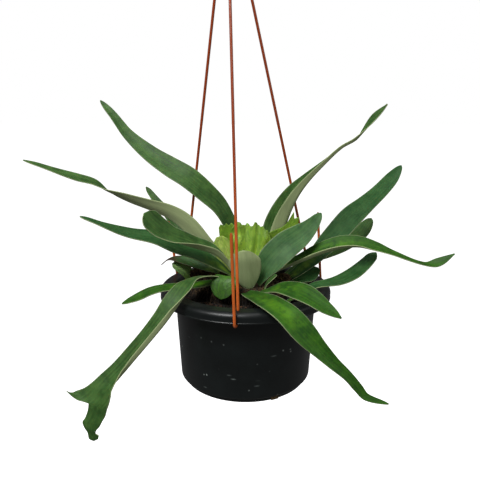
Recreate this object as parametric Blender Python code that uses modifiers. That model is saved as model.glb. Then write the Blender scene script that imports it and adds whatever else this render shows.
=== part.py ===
"""Staghorn fern in its hanging pot: a moulded pot, potting mix, the root mound with its shield
fronds and strap-like fertile fronds, and three hooked hanger wires gathered under one hook.

Metres, +Z up. The origin is the seat of the hook, where the hanger bears on its rail. Lists of
sizes are in millimetres, measured from the centre of the pot's rim: +X right, +Y to the back.
"""
import math
import random

import bmesh
import bpy
import numpy as np
from mathutils import Vector
from mathutils.bvhtree import BVHTree

for old in list(bpy.data.objects):
    bpy.data.objects.remove(old, do_unlink=True)

MM = 0.001
GAP = 0.3                      # clearance between touching pieces

# Pot
RIM_RADIUS = 100.0
RIM_DEPTH = 12.0               # height of the turned-down band
WALL = 2.0
WALL_TOP_RADIUS = 82.5
WALL_FOOT_RADIUS = 77.5
FOOT_RADIUS = 72.0
POT_HEIGHT = 116.0
FLOOR_TOP = -POT_HEIGHT + 4.0
DRAIN_RING = 45.0
DRAIN_RADIUS = 4.0
POT_STEPS = 48

# Hanger
WIRE_RADIUS = 1.6
WIRE_RING = 88.0               # the wires pass through the top of the lip here
HANGER_ANGLES = (-5.5, 113.5, -121.5)      # from the front, towards +X
WIRE_LEG_TOPS = ((-15, -102.5, 85), (89, 42, 78), (-96, 56, 64))
HOLE_RADIUS = WIRE_RADIUS + 0.6
BOSS_BASE = (-18.5, 0.0, 412.0)            # underside of the hook's boss
BOSS_RADIUS = 8.0
BOSS_HEIGHT = 22.0
SOCKET_RING = 4.4              # of the three wires, from the boss's axis
SOCKET_DEPTH = 14.0
HOOK_RADIUS = 15.0             # centre line of the open bend
HOOK_NECK = 10.0
HOOK_WIRE = 2.6

# Root mound and potting mix
MOUND_CENTRE = (-4.0, 6.0)
MOUND_SIZE = (62.0, 42.0)
MOUND_BASE = -20.0
MOUND_EDGE = -13.0
MOUND_RISE = 26.0
MIX_TOP = -14.0

BLADE = 1.0                    # thickness of every frond
ABOVE = 200.0                  # a height clear of every foot

# Each path runs from foot to tip: x, y, z, width and turn. The turn, in degrees, rolls the blade
# about its own run. "cup" lifts both margins, "lap" = (side, start, degrees...) rolls one margin
# up and over, and "wave" is the flutter of the margins.
FRONDS = {
    "frond_tall_left": {
        "path": [(-3, 26, 20, 9, 20), (-9, 26, 40, 16, 26), (-18, 25, 67, 21, 32),
                 (-30, 22, 88, 24, 38), (-47, 18, 106, 26, 46), (-67, 20, 123, 27, 52),
                 (-87, 27, 134, 26, 54), (-113, 39, 149, 21, 54), (-141, 53, 171, 14, 54),
                 (-160, 61, 194, 10, 54), (-176, 68, 211, 7, 54)],
        "cup": 9, "wave": 0.6},
    "frond_long_left": {
        "path": [(-22, 19, 16, 9, -40), (-34, 20, 34, 16, -55), (-51, 22, 50, 21, -66),
                 (-70, 26, 67, 24, -66), (-91, 32, 79, 23, -62), (-116, 38, 87, 20, -56),
                 (-143, 42, 95, 17, -42), (-167, 44, 103, 16, -16), (-184, 44, 114, 15, 12),
                 (-203, 44, 120, 15, 20), (-246, 40, 135, 10, 20), (-265, 38, 142, 5, 20)],
        "cup": 9, "wave": 0.8},
    "frond_rear_left": {
        "path": [(-37, 34, 17, 9, 20), (-64, 58, 31, 12, 30), (-87, 76, 51, 12, 34),
                 (-103, 88, 70, 12, 36), (-116, 96, 83, 10, 40), (-131, 106, 100, 6, 40)],
        "cup": 12},
    "frond_flat_left": {
        "path": [(-15, -4, 12, 8, 10), (-27, -8, 22, 14, 15), (-46, -11, 34, 21, 24),
                 (-64, -12, 43, 25, 30), (-81, -17, 51, 27, 32), (-100, -22, 60, 25, 30),
                 (-127, -30, 67, 18, 26), (-153, -38, 78, 12, 22), (-178, -45, 90, 6, 22)],
        "cup": 10, "wave": 0.6},
    "frond_upturned_left": {
        "path": [(-8, -17, 19, 9, 20), (-22, -22, 35, 18, 26), (-38, -28, 47, 26, 29),
                 (-53, -34, 54, 28, 31), (-66, -42, 61, 29, 35), (-80, -48, 68, 29, 42),
                 (-92, -52, 78, 28, 50), (-102, -56, 89, 26, 56), (-107, -58, 96, 20, 56)],
        "cup": 10, "lap": (-1, 0.4, 60, 78, 80, 70, 40, 5, 0)},
    "frond_short_left": {
        "path": [(-31, -13, 0, 7, 10), (-41, -22, 5, 11, 12), (-56, -32, 8, 13, 14),
                 (-73, -40, 9, 14, 15), (-92, -46, 9, 14, 15), (-105, -48, 6, 15, 15),
                 (-119, -50, 0, 14, 15), (-136, -53, -6, 5, 15)],
        "cup": 10},
    "frond_dry_tip": {
        "path": [(-28, 10, 11, 10, 20), (-49, 18, 14, 15, 25), (-68, 26, 18, 17, 25),
                 (-85, 34, 20, 12, 20), (-96, 40, 18, 6, 10), (-105, 42, 11, 3, 0)],
        "cup": 25},
    "frond_tall_right": {
        "path": [(22, 26, 13, 14, -35), (33, 27, 34, 42, -58), (41, 25, 55, 54, -60),
                 (47, 19, 77, 47, -58), (57, 8, 102, 34, -56), (69, -1, 121, 23, -46),
                 (86, -10, 141, 15, -30), (105, -16, 160, 11, -10), (119, -20, 169, 10, 0),
                 (127, -22, 179, 11, -25), (137, -24, 193, 11, -46), (149, -27, 207, 4, -50)],
        "cup": 12, "lap": (1, 0.36, 30, 100, 118, 118, 110, 90, 60, 40, 10, 0)},
    "frond_broad_right": {
        "path": [(47, 8, 9, 10, -20), (66, 13, 18, 15, -26), (88, 22, 32, 22, -30),
                 (108, 36, 48, 28, -34), (131, 52, 69, 29, -36), (153, 66, 84, 24, -36),
                 (173, 80, 98, 21, -36), (191, 92, 114, 18, -36), (204, 100, 129, 14, -36)],
        "cup": 9, "wave": 0.5, "blunt": 0.14},
    "frond_rear_right": {
        "path": [(44, 30, 4, 9, -20), (74, 46, 14, 12, -24), (105, 64, 19, 15, -28),
                 (132, 84, 26, 19, -30), (155, 100, 38, 20, -30), (172, 113, 56, 19, -30)],
        "cup": 10, "blunt": 0.16},
    "frond_long_right": {
        "path": [(19, -4, 8, 11, -10), (43, -4, 20, 15, -16), (64, -4, 30, 20, -20),
                 (86, -6, 41, 24, -22), (109, -8, 49, 24, -22), (129, -10, 51, 18, -20),
                 (149, -14, 47, 12, -18), (169, -18, 41, 9, -14), (202, -24, 31, 8, -8),
                 (216, -26, 33, 8, -5), (234, -28, 44, 4, -5)],
        "cup": 9, "lap": (1, 0.5, 15, 55, 78, 80, 72, 45, 12, 0, 0)},
    "frond_wide_right": {
        "path": [(12, -20, 4, 9, -40), (18, -20, 18, 20, -45), (30, -18, 35, 32, -50),
                 (46, -14, 50, 33, -50), (62, -8, 60, 28, -50), (75, -2, 70, 19, -50),
                 (88, 6, 84, 7, -50)],
        "cup": 8, "wave": 0.5},
    "frond_young_front": {
        "path": [(4, -27, 0, 8, 0), (2, -32, 14, 26, 0), (0, -36, 28, 36, 0),
                 (-2, -39, 40, 36, 0), (-3, -39, 51, 30, 0)],
        "cup": 16, "heading": -90, "blunt": 0.3},
    "frond_front_long": {
        "path": [(0, -30, -3, 12, -8), (7, -48, 1, 18, -10), (17, -70, 5, 22, -12),
                 (27, -92, 7, 25, -14), (41, -109, 2, 27, -18), (56, -117, -12, 26, -20),
                 (71, -120, -28, 19, -20), (86, -122, -43, 14, -20), (101, -122, -57, 11, -20),
                 (112, -122, -70, 10, -20), (121, -123, -80, 8, -18), (143, -126, -86, 5, -16)],
        "cup": 9, "heading": -50, "wave": 0.6},
    "frond_front_short": {
        "path": [(12, -30, 2, 8, -8), (27, -47, 9, 16, -14), (42, -63, 15, 24, -20),
                 (57, -76, 15, 25, -24), (70, -88, 11, 22, -24), (81, -96, 5, 16, -22),
                 (96, -104, -3, 4, -22)],
        "cup": 9, "wave": 0.5},
    "frond_curved_right": {
        "path": [(46, -28, 2, 8, -5), (68, -32, 7, 12, -8), (87, -28, 8, 15, -10),
                 (106, -20, 9, 18, -16), (124, -10, 14, 19, -22), (139, 0, 22, 17, -26),
                 (150, 6, 31, 14, -26), (155, 8, 36, 9, -26)],
        "cup": 10},
    "frond_small_right": {
        "path": [(54, 2, 2, 8, -20), (66, 8, 3, 13, -30), (78, 14, 6, 18, -35),
                 (89, 22, 13, 8, -35)],
        "cup": 9},
    "frond_small_front": {
        "path": [(21, -27, 4, 5, -10), (24, -28, 9, 7, -15), (29, -30, 15, 7, -20),
                 (35, -29, 20, 4, -20)],
        "cup": 9},
}

# The forked frond: one blade down to the fork, where each half runs on as a lobe of its own.
FORKED = {
    "path": [(-16, -19, 8, 9, 0), (-28, -25, 15, 13, 0), (-44, -36, 20, 15, 4),
             (-59, -52, 21, 16, 20), (-66, -65, 16, 20, 34), (-75, -77, 5, 25, 34),
             (-87, -84, -12, 25, 28), (-102, -86, -31, 24, 25), (-119, -88, -51, 24, 25),
             (-134, -91, -68, 25, 25), (-146, -93, -80, 27, 25)],
    "cup": 8, "lap": (-1, 0.5, 0, 0, 0, 10, 60, 105, 115, 115, 105, 80, 20), "open": True}
# Past the stem, x, y, z of two or three lines: the middle, left and right of the palm, then the
# right and left margins of each lobe.
FORK_PALM = [(-154, -95, -88, -165, -86, -83, -141, -106, -89),
             (-160, -96, -96, -174, -85, -90, -143, -106, -97),
             (-167, -97, -102, -183, -84, -94, -146, -105, -105)]
FORK_UPPER = [(-173, -95, -101, -187, -84, -96), (-180, -93, -100, -191, -84, -96),
              (-189, -88, -97, -194, -84, -94)]
FORK_LOWER = [(-148, -105, -112, -168, -98, -109), (-152, -105, -119, -171, -99, -117),
              (-155, -104, -125, -174, -100, -122), (-159, -104, -130, -172, -101, -128),
              (-160, -103, -134, -169, -101, -134), (-157, -103, -136, -168, -101, -141),
              (-158, -102, -141, -163, -101, -144)]

# Shield fronds: short, wide and cupped. "edge" gives the upper edge, which is lobed and torn, as
# (share of the width, share of the full reach).
SHIELDS = {
    "shield_left": {
        "path": [(-13, 6, 12, 10, 0), (-20, 5, 27, 18, 0), (-26, 5, 41, 24, 0),
                 (-31, 6, 56, 24, 0)],
        "cup": 18, "heading": 90,
        "edge": ((0, 0.7), (0.12, 0.88), (0.35, 1), (0.65, 1), (0.88, 0.9), (1, 0.75))},
    "shield_back": {
        "path": [(-8, 12, 12, 10, 0), (-14, 12, 36, 18, 0), (-19, 12, 53, 22, 0),
                 (-21, 11, 71, 22, 0)],
        "cup": 14, "heading": 90,
        "edge": ((0, 0.93), (0.12, 1), (0.3, 0.95), (0.42, 1), (0.55, 0.95), (0.7, 1), (1, 0.9))},
    "shield_middle": {
        "path": [(4, 0, 12, 14, 0), (6, 0, 32, 36, 0), (8, 3, 52, 48, 0), (9, 8, 73, 52, 0)],
        "cup": 10, "heading": 90, "wave": 2.0,
        "edge": ((0, 0.86), (0.18, 0.99), (0.27, 0.94), (0.36, 1), (0.45, 0.92), (0.56, 1),
                 (0.64, 0.93), (0.72, 0.95), (0.79, 0.84), (0.86, 0.85), (0.93, 0.7), (1, 0.62))},
    "shield_right": {
        "path": [(23, 6, 10, 12, 0), (35, 8, 38, 29, 0), (44, 9, 61, 40, 0), (53, 7, 87, 45, 0)],
        "cup": 12, "heading": 90, "wave": 1.5,
        "edge": ((0, 0.55), (0.25, 0.66), (0.42, 0.72), (0.52, 0.8), (0.58, 1), (0.66, 0.9),
                 (0.76, 0.95), (0.82, 0.84), (0.9, 0.86), (1, 0.68))},
    "shield_front": {
        "path": [(-16, -26, 6, 9, 0), (-20, -33, 14, 22, 0), (-25, -40, 12, 30, 0),
                 (-28, -45, -4, 28, 0)],
        "cup": -10, "heading": -115,
        "edge": ((0, 0.72), (0.2, 0.92), (0.5, 1), (0.8, 0.92), (1, 0.74))},
    "shield_small": {
        "path": [(-64, 22, -8, 9, 40), (-70, 27, 4, 14, 50), (-78, 32, 11, 17, 55),
                 (-91, 37, 14, 16, 55)],
        "cup": 14, "edge": ((0, 0.72), (0.2, 0.92), (0.5, 1), (0.8, 0.92), (1, 0.74))},
}

plant = bpy.data.collections.new("staghorn_fern")
cutters = bpy.data.collections.new("cutters")
bpy.context.scene.collection.children.link(plant)
bpy.context.scene.collection.children.link(cutters)


def seat_height():
    """Height of the hook's seat over the rim."""
    bend_centre = BOSS_BASE[2] + BOSS_HEIGHT + HOOK_NECK + HOOK_RADIUS
    return bend_centre + HOOK_RADIUS - HOOK_WIRE


rim_centre = bpy.data.objects.new("rim_centre", None)
rim_centre.location = (-BOSS_BASE[0] * MM, -BOSS_BASE[1] * MM, -seat_height() * MM)
plant.objects.link(rim_centre)


def finish(obj, colour, roughness, metallic=0.0):
    """Give an object a Principled material of its own."""
    material = bpy.data.materials.new(obj.name + "_finish")
    material.use_nodes = True
    shader = material.node_tree.nodes["Principled BSDF"]
    shader.inputs["Base Color"].default_value = (*colour, 1.0)
    shader.inputs["Roughness"].default_value = roughness
    shader.inputs["Metallic"].default_value = metallic
    obj.data.materials.clear()
    obj.data.materials.append(material)
    return obj


def place(name, data, collection=plant):
    """Link a new object, hung on the rim's centre."""
    obj = bpy.data.objects.new(name, data)
    collection.objects.link(obj)
    obj.parent = rim_centre
    return obj


def mesh_object(name, build, collection=plant):
    """A new object from a function that fills a bmesh in millimetres."""
    bm = bmesh.new()
    build(bm)
    bmesh.ops.scale(bm, vec=(MM, MM, MM), verts=bm.verts)
    data = bpy.data.meshes.new(name)
    bm.to_mesh(data)
    bm.free()
    return place(name, data, collection)


def applied(obj):
    """Make an object's evaluated shape its own mesh, with nothing left live."""
    bpy.context.view_layer.update()
    graph = bpy.context.evaluated_depsgraph_get()
    data = bpy.data.meshes.new_from_object(obj.evaluated_get(graph))
    result = bpy.data.objects.new(obj.name + "_solid", data)
    for collection in obj.users_collection:
        collection.objects.link(result)
    result.parent = obj.parent
    name = obj.name
    bpy.data.objects.remove(obj, do_unlink=True)
    result.name = name
    return result


def smooth(obj, angle=40.0):
    obj.data.shade_smooth()
    obj.data.set_sharp_from_angle(angle=math.radians(angle))


# ---------------------------------------------------------------- pot

def arc(centre_r, centre_z, radius, start, end, steps):
    """Points on an arc in the turned profile, in degrees from +X."""
    turns = np.radians(np.linspace(start, end, steps))
    return [(centre_r + radius * math.cos(t), centre_z + radius * math.sin(t)) for t in turns]


def pot_profile():
    """Half section of the pot, from the inside of its floor, over the lip, to its underside."""
    lip_inner = WALL_TOP_RADIUS - WALL
    inner_foot = WALL_FOOT_RADIUS - WALL
    points = [(0.0, FLOOR_TOP), (inner_foot - 6.0, FLOOR_TOP), (inner_foot - 1.0, FLOOR_TOP + 4.0)]
    points += [(lip_inner, -RIM_DEPTH), (lip_inner, -4.0)]
    points += arc(lip_inner + 4.0, -4.0, 4.0, 150, 90, 3)
    points += arc(RIM_RADIUS - 3.0, -3.0, 3.0, 90, 0, 4)
    points += [(RIM_RADIUS, -RIM_DEPTH), (RIM_RADIUS - WALL, -RIM_DEPTH)]
    points += [(RIM_RADIUS - WALL, -3.5), (RIM_RADIUS - 4.0, -2.0)]
    points += [(WALL_TOP_RADIUS + 2.5, -2.0), (WALL_TOP_RADIUS, -4.5)]
    points += [(WALL_TOP_RADIUS, -RIM_DEPTH - 2.0), (WALL_FOOT_RADIUS, -POT_HEIGHT + 10.0)]
    points += [(FOOT_RADIUS + 2.0, -POT_HEIGHT + 7.5)]
    points += arc(FOOT_RADIUS - 6.0, -POT_HEIGHT + 7.0, 7.0, -8, -90, 5)
    points += [(FOOT_RADIUS - 12.0, -POT_HEIGHT), (FOOT_RADIUS - 13.5, -POT_HEIGHT + 1.5)]
    points += [(0.0, -POT_HEIGHT + 1.5)]
    return points


def build_profile(bm):
    verts = [bm.verts.new((r, 0.0, z)) for r, z in pot_profile()]
    for a, b in zip(verts, verts[1:]):
        bm.edges.new((a, b))


def rod(name, length, radius, sides=16):
    """A round cutter along its own Z."""
    def build(bm):
        bmesh.ops.create_cone(bm, cap_ends=True, segments=sides, radius1=radius,
                              radius2=radius, depth=length)
    obj = mesh_object(name, build, cutters)
    obj.hide_render = True
    obj.display_type = 'WIRE'
    return obj


def cut(obj, tool):
    hole = obj.modifiers.new(tool.name, 'BOOLEAN')
    hole.object = tool


pot = mesh_object("pot", build_profile)
turn = pot.modifiers.new("turn", 'SCREW')
turn.axis = 'Z'
turn.steps = POT_STEPS
turn.render_steps = POT_STEPS
turn.use_merge_vertices = True
turn.merge_threshold = 0.00001
for number in range(6):
    drill = rod(f"drain_{number + 1}", 20.0, DRAIN_RADIUS)
    around = math.radians(60 * number + 30)
    drill.location = Vector((math.cos(around), math.sin(around), 0)) * DRAIN_RING * MM
    drill.location.z = -POT_HEIGHT * MM
    cut(pot, drill)


def around_pot(angle, radius, height):
    """A point at an angle from the front, towards +X."""
    turned = math.radians(angle)
    return Vector((radius * math.sin(turned), -radius * math.cos(turned), height))


for number, angle in enumerate(HANGER_ANGLES):
    drill = rod(f"hanger_hole_{number + 1}", 12.0, HOLE_RADIUS, 12)
    drill.location = around_pot(angle, WIRE_RING, 0.0) * MM
    cut(pot, drill)
finish(pot, (0.012, 0.014, 0.014), 0.42)


# ---------------------------------------------------------------- hanger wires and hook

def wire_route(angle, leg_top):
    """Centre line of one wire: out of the boss, down through the lip, under its band and up."""
    foot = around_pot(angle, WIRE_RING, 1.0)
    boss = Vector(BOSS_BASE)
    socket = boss + around_pot(angle, SOCKET_RING, 0.0)
    route = [socket + Vector((0, 0, SOCKET_DEPTH - GAP)), socket + Vector((0, 0, -2.0))]
    neck = socket + Vector((0, 0, -8.0)) + (foot - socket).normalized() * 3.0
    route += [neck + (foot - neck) * t for t in (0.0, 0.25, 0.5, 0.75, 1.0)]
    under = -RIM_DEPTH - WIRE_RADIUS - GAP
    outside = RIM_RADIUS + WIRE_RADIUS + 0.9
    bend = ((WIRE_RING, -7.0), (WIRE_RING + 1.0, under + 3.2), (WIRE_RING + 3.6, under + 0.7),
            (WIRE_RING + 7.0, under), (outside - 3.2, under), (outside - 0.9, under + 0.9),
            (outside, under + 3.4))
    route += [around_pot(angle, r, z) for r, z in bend]
    start = route[-1]
    route += [start + (Vector(leg_top) - start) * t for t in (0.1, 0.4, 0.7, 1.0)]
    return route


def wire(name, route, radius):
    """A round wire with closed ends along a route in millimetres."""
    data = bpy.data.curves.new(name, 'CURVE')
    data.dimensions = '3D'
    data.bevel_depth = radius * MM
    data.bevel_resolution = 2
    data.use_fill_caps = True
    spline = data.splines.new('POLY')
    spline.points.add(len(route) - 1)
    for point, at in zip(spline.points, route):
        point.co = (at[0] * MM, at[1] * MM, at[2] * MM, 1.0)
    return place(name, data)


def welded(obj):
    """A curve as one closed mesh, its end caps joined to it."""
    obj = applied(obj)
    bm = bmesh.new()
    bm.from_mesh(obj.data)
    bmesh.ops.remove_doubles(bm, verts=bm.verts, dist=0.00001)
    bmesh.ops.recalc_face_normals(bm, faces=bm.faces)
    bm.to_mesh(obj.data)
    bm.free()
    return obj


WIRE_NAMES = ("wire_front", "wire_right", "wire_left")
for name, angle, leg_top in zip(WIRE_NAMES, HANGER_ANGLES, WIRE_LEG_TOPS):
    strand = welded(wire(name, wire_route(angle, leg_top), WIRE_RADIUS))
    finish(strand, (0.55, 0.09, 0.02), 0.35)
    smooth(strand)


def hook_route():
    """The open bend over the boss: up its axis, round to the right and over to the left."""
    top = Vector(BOSS_BASE) + Vector((0, 0, BOSS_HEIGHT))
    centre = top + Vector((0, 0, HOOK_NECK + HOOK_RADIUS))
    route = [top + Vector((0, 0, -3.0)), top + Vector((0, 0, 4.0)), top + Vector((2.0, 0, 8.0))]
    for t in np.radians(np.linspace(-62, 196, 19)):
        route.append(centre + Vector((math.cos(t), 0, math.sin(t))) * HOOK_RADIUS)
    return route


hook = welded(wire("hook", hook_route(), HOOK_WIRE))


def build_boss(bm):
    bmesh.ops.create_cone(bm, cap_ends=True, segments=20, radius1=BOSS_RADIUS,
                          radius2=BOSS_RADIUS, depth=BOSS_HEIGHT)
    middle = Vector(BOSS_BASE) + Vector((0, 0, BOSS_HEIGHT / 2))
    bmesh.ops.translate(bm, verts=bm.verts, vec=middle)


boss = mesh_object("boss", build_boss, cutters)
boss.hide_render = True
boss.display_type = 'WIRE'
join = hook.modifiers.new("boss", 'BOOLEAN')
join.operation = 'UNION'
join.object = boss
for number, angle in enumerate(HANGER_ANGLES):
    drill = rod(f"socket_{number + 1}", 2 * SOCKET_DEPTH, WIRE_RADIUS + GAP, 12)
    drill.location = (Vector(BOSS_BASE) + around_pot(angle, SOCKET_RING, 0.0)) * MM
    cut(hook, drill)
finish(hook, (0.45, 0.08, 0.02), 0.4)
smooth(hook)


# ---------------------------------------------------------------- potting mix and root mound

def mound_height(x, y):
    """Top of the root mound over a point, or of the mix beyond it."""
    u = (x - MOUND_CENTRE[0]) / MOUND_SIZE[0]
    v = (y - MOUND_CENTRE[1]) / MOUND_SIZE[1]
    spread = math.hypot(u, v)
    if spread >= 1.0:
        return MIX_TOP
    dome = MOUND_EDGE + MOUND_RISE * (1 - spread * spread) ** 0.5
    lumps = math.sin(x * 0.31 + 1.0) * math.sin(y * 0.37) + 0.6 * math.sin(x * 0.62 - y * 0.55)
    return dome + 1.1 * lumps * (1 - spread ** 4)


def ellipse(k, steps, grow=0.0):
    """Points of the mound's plan, k of its full size."""
    ring = []
    for t in np.radians(np.arange(steps) * 360.0 / steps):
        ring.append((MOUND_CENTRE[0] + (MOUND_SIZE[0] * k + grow) * math.cos(t),
                     MOUND_CENTRE[1] + (MOUND_SIZE[1] * k + grow) * math.sin(t)))
    return ring


def loft(bm, rings, first, last):
    """Skin a stack of equal rings, closed by a point below and a point above."""
    rows = [[bm.verts.new(p) for p in ring] for ring in rings]
    count = len(rows[0])
    for low, high in zip(rows, rows[1:]):
        for i in range(count):
            j = (i + 1) % count
            bm.faces.new((low[i], low[j], high[j], high[i]))
    for row, point, flip in ((rows[0], first, True), (rows[-1], last, False)):
        hub = bm.verts.new(point)
        for i in range(count):
            j = (i + 1) % count
            bm.faces.new((row[j], row[i], hub) if flip else (row[i], row[j], hub))


def chunk(bm, rng, at, size, squash=1.0):
    """An angular lump of bark or coir."""
    made = bmesh.ops.create_icosphere(bm, subdivisions=1, radius=1.0)["verts"]
    stretch = Vector((rng.uniform(0.7, 1.3), rng.uniform(0.7, 1.3), squash * rng.uniform(0.7, 1.2)))
    spin = rng.uniform(0, math.tau)
    for v in made:
        p = Vector(v.co) * rng.uniform(0.82, 1.1)
        p = Vector((p.x * stretch.x, p.y * stretch.y, p.z * stretch.z)) * size
        v.co = Vector((p.x * math.cos(spin) - p.y * math.sin(spin),
                       p.x * math.sin(spin) + p.y * math.cos(spin), p.z)) + Vector(at)


def join_bits(obj, name, bits):
    """Fuse loose bits to an object with one union over a collection, then drop them."""
    group = bpy.data.collections.new(name)
    bpy.context.scene.collection.children.link(group)
    for number, (rng, at, size, squash) in enumerate(bits):
        bit = mesh_object(f"{name}_{number}", lambda bm: chunk(bm, rng, at, size, squash), group)
        bit.hide_render = True
        bit.display_type = 'WIRE'
    fuse = obj.modifiers.new("bits", 'BOOLEAN')
    fuse.operation = 'UNION'
    fuse.operand_type = 'COLLECTION'
    fuse.collection = group
    fuse.solver = 'MANIFOLD'
    obj = applied(obj)
    for bit in list(group.objects):
        bpy.data.objects.remove(bit, do_unlink=True)
    bpy.data.collections.remove(group)
    return obj


def build_mound(bm):
    steps = 30
    rings = [[(x, y, MOUND_BASE + GAP) for x, y in ellipse(0.98, steps)]]
    rings += [[(x, y, MOUND_EDGE) for x, y in ellipse(1.0, steps)]]
    for k in (0.95, 0.85, 0.7, 0.52, 0.34, 0.17):
        rings.append([(x, y, mound_height(x, y)) for x, y in ellipse(k, steps)])
    x, y = MOUND_CENTRE
    loft(bm, rings, (x, y, MOUND_BASE + GAP), (x, y, mound_height(x, y)))


mound = mesh_object("root_mound", build_mound)
draw = random.Random(11)
BLOCKS = [((-51, 22, 0), 8.5, 0.9), ((-44, 12, 0), 8.0, 0.8), ((40, 18, -1), 7.0, 0.9),
          ((-54, 6, -6), 7.0, 0.7), ((34, -16, -5), 6.0, 0.7), ((50, -4, -8), 6.0, 0.7)]
mound = join_bits(mound, "blocks", [(draw, at, size, squash) for at, size, squash in BLOCKS])
finish(mound, (0.06, 0.03, 0.015), 0.9)


def build_mix(bm):
    steps = 36
    wall_foot = WALL_FOOT_RADIUS - WALL - 2.0
    wall_top = WALL_TOP_RADIUS - WALL - 3 * GAP
    low = FLOOR_TOP + GAP

    def circle(radius, height):
        turns = np.radians(np.arange(steps) * 360.0 / steps)
        return [(radius * math.cos(t), radius * math.sin(t), height(t)) for t in turns]

    rings = [circle(wall_foot - 6.0, lambda t: low), circle(wall_foot, lambda t: low + 5.0)]
    rings.append(circle(wall_top, lambda t: MIX_TOP - 3.0))
    rings.append(circle(wall_top, lambda t: MIX_TOP + 0.8 * math.sin(5 * t) - 0.5))
    edge = ellipse(1.0, steps, 0.5)
    for k in (0.75, 0.45, 0.18):
        ring = []
        for (wall_x, wall_y, _), (edge_x, edge_y) in zip(rings[2], edge):
            x = edge_x + (wall_x - edge_x) * k
            y = edge_y + (wall_y - edge_y) * k
            ring.append((x, y, MIX_TOP + 0.9 * math.sin(x * 0.4) * math.cos(y * 0.35)))
        rings.append(ring)
    rings.append([(x, y, MIX_TOP) for x, y in edge])
    rings.append([(x, y, MOUND_BASE) for x, y in ellipse(0.98, steps, 0.5)])
    loft(bm, rings, (0, 0, low), (*MOUND_CENTRE, MOUND_BASE))


mix = mesh_object("potting_mix", build_mix)
finish(mix, (0.015, 0.011, 0.008), 0.95)


# ---------------------------------------------------------------- fronds

def along(rows, count):
    """Rows of numbers read off a smooth curve through the given rows, at even steps."""
    rows = np.array(rows, float)
    step = np.linalg.norm(np.diff(rows[:, :3], axis=0), axis=1)
    at = np.concatenate([[0.0], np.cumsum(step)])
    slope = np.empty_like(rows)
    slope[1:-1] = (rows[2:] - rows[:-2]) / (at[2:] - at[:-2])[:, None]
    slope[0] = (rows[1] - rows[0]) / step[0]
    slope[-1] = (rows[-1] - rows[-2]) / step[-1]
    wanted = np.linspace(0.0, at[-1], count)
    i = np.clip(np.searchsorted(at, wanted, side='right') - 1, 0, len(rows) - 2)
    h = (at[i + 1] - at[i])[:, None]
    u = (wanted - at[i])[:, None] / h
    return ((2 * u**3 - 3 * u**2 + 1) * rows[i] + (u**3 - 2 * u**2 + u) * h * slope[i]
            + (3 * u**2 - 2 * u**3) * rows[i + 1] + (u**3 - u**2) * h * slope[i + 1])


def blade_grid(spec, count, across=6):
    """Points of a blade, foot to tip by margin to margin, in millimetres."""
    path = spec["path"]
    rows = along(path, count)
    s = np.linspace(0.0, 1.0, count)
    centre = rows[:, :3]
    blunt = spec.get("blunt", 0.07)
    ending = np.clip((s - 1 + blunt) / blunt, 0.0, 1.0)
    width = rows[:, 3]
    if "edge" not in spec and "open" not in spec:
        width = width * np.sqrt(1 - ending**2)
    width = np.maximum(width, 1.5 * BLADE)
    turned = np.radians(rows[:, 4])
    slack = np.clip(width / 8.0 - 0.2, 0.0, 1.0)
    cup = math.radians(spec.get("cup", 10)) * slack
    side, start, *laps = spec.get("lap", (1, 0.5, 0, 0))
    lap = np.radians(np.interp(s, np.linspace(0, 1, len(laps)), laps)) * slack

    run = np.array(path[-1][:2], float) - np.array(path[0][:2], float)
    heading = math.radians(spec.get("heading", math.degrees(math.atan2(run[1], run[0]))))
    level = np.array([math.sin(heading), -math.cos(heading), 0.0])
    tangent = np.gradient(centre, axis=0)
    tangent /= np.linalg.norm(tangent, axis=1)[:, None]
    flat = level - (tangent @ level)[:, None] * tangent
    flat /= np.linalg.norm(flat, axis=1)[:, None]
    upper = np.cross(flat, tangent)
    out = flat * np.cos(turned)[:, None] + upper * np.sin(turned)[:, None]
    face = upper * np.cos(turned)[:, None] - flat * np.sin(turned)[:, None]

    half = across // 2
    wave = spec.get("wave", 0.0)
    grid = np.empty((count, across + 1, 3))
    grid[:, half] = centre
    for sign in (1, -1):
        sideways = np.zeros(count)
        lifted = np.zeros(count)
        for j in range(half):
            share = (j + 0.5) / half
            angle = cup * min(1.0, share / 0.35)
            if sign == side:
                angle = angle + lap * np.clip((share - start + 0.1) / 0.2, 0.0, 1.0)
            sideways = sideways + sign * np.cos(angle) * width / (2 * half)
            lifted = lifted + np.sin(angle) * width / (2 * half)
            phase = 0.6 if sign > 0 else 2.7
            flutter = wave * np.minimum(1, 4 * s) * slack
            ripple = flutter * ((j + 1) / half) ** 2 * np.sin(19 * s + phase)
            grid[:, half + sign * (j + 1)] = (centre + out * sideways[:, None]
                                              + face * (lifted + ripple)[:, None])
    if "edge" in spec:
        for j in range(across + 1):
            at = s * np.interp(j / across, *zip(*spec["edge"])) * (count - 1)
            i = np.minimum(at.astype(int), count - 2)
            part = (at - i)[:, None]
            column = grid[:, j].copy()
            grid[:, j] = column[i] * (1 - part) + column[i + 1] * part
    return grid


def ground_tree():
    """The mound and the mix as one search tree, in millimetres."""
    points = []
    faces = []
    for obj in (mound, mix):
        first = len(points)
        points += [v.co / MM for v in obj.data.vertices]
        faces += [[first + i for i in face.vertices] for face in obj.data.polygons]
    return BVHTree.FromPolygons(points, faces)


ground = ground_tree()


def clearance(row, following):
    """Least height over the ground of a row of a blade, its thickness counted."""
    edge = np.gradient(row, axis=0)
    normal = np.cross(following - row, edge)
    normal *= BLADE / 2 / np.linalg.norm(normal, axis=1)[:, None]
    heights = []
    for point in (*(row + normal), *(row - normal)):
        hit = ground.ray_cast(Vector((point[0], point[1], ABOVE)), Vector((0, 0, -1)))[0]
        if hit is not None:
            heights.append(point[2] - hit.z)
    return min(heights, default=ABOVE)


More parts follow.
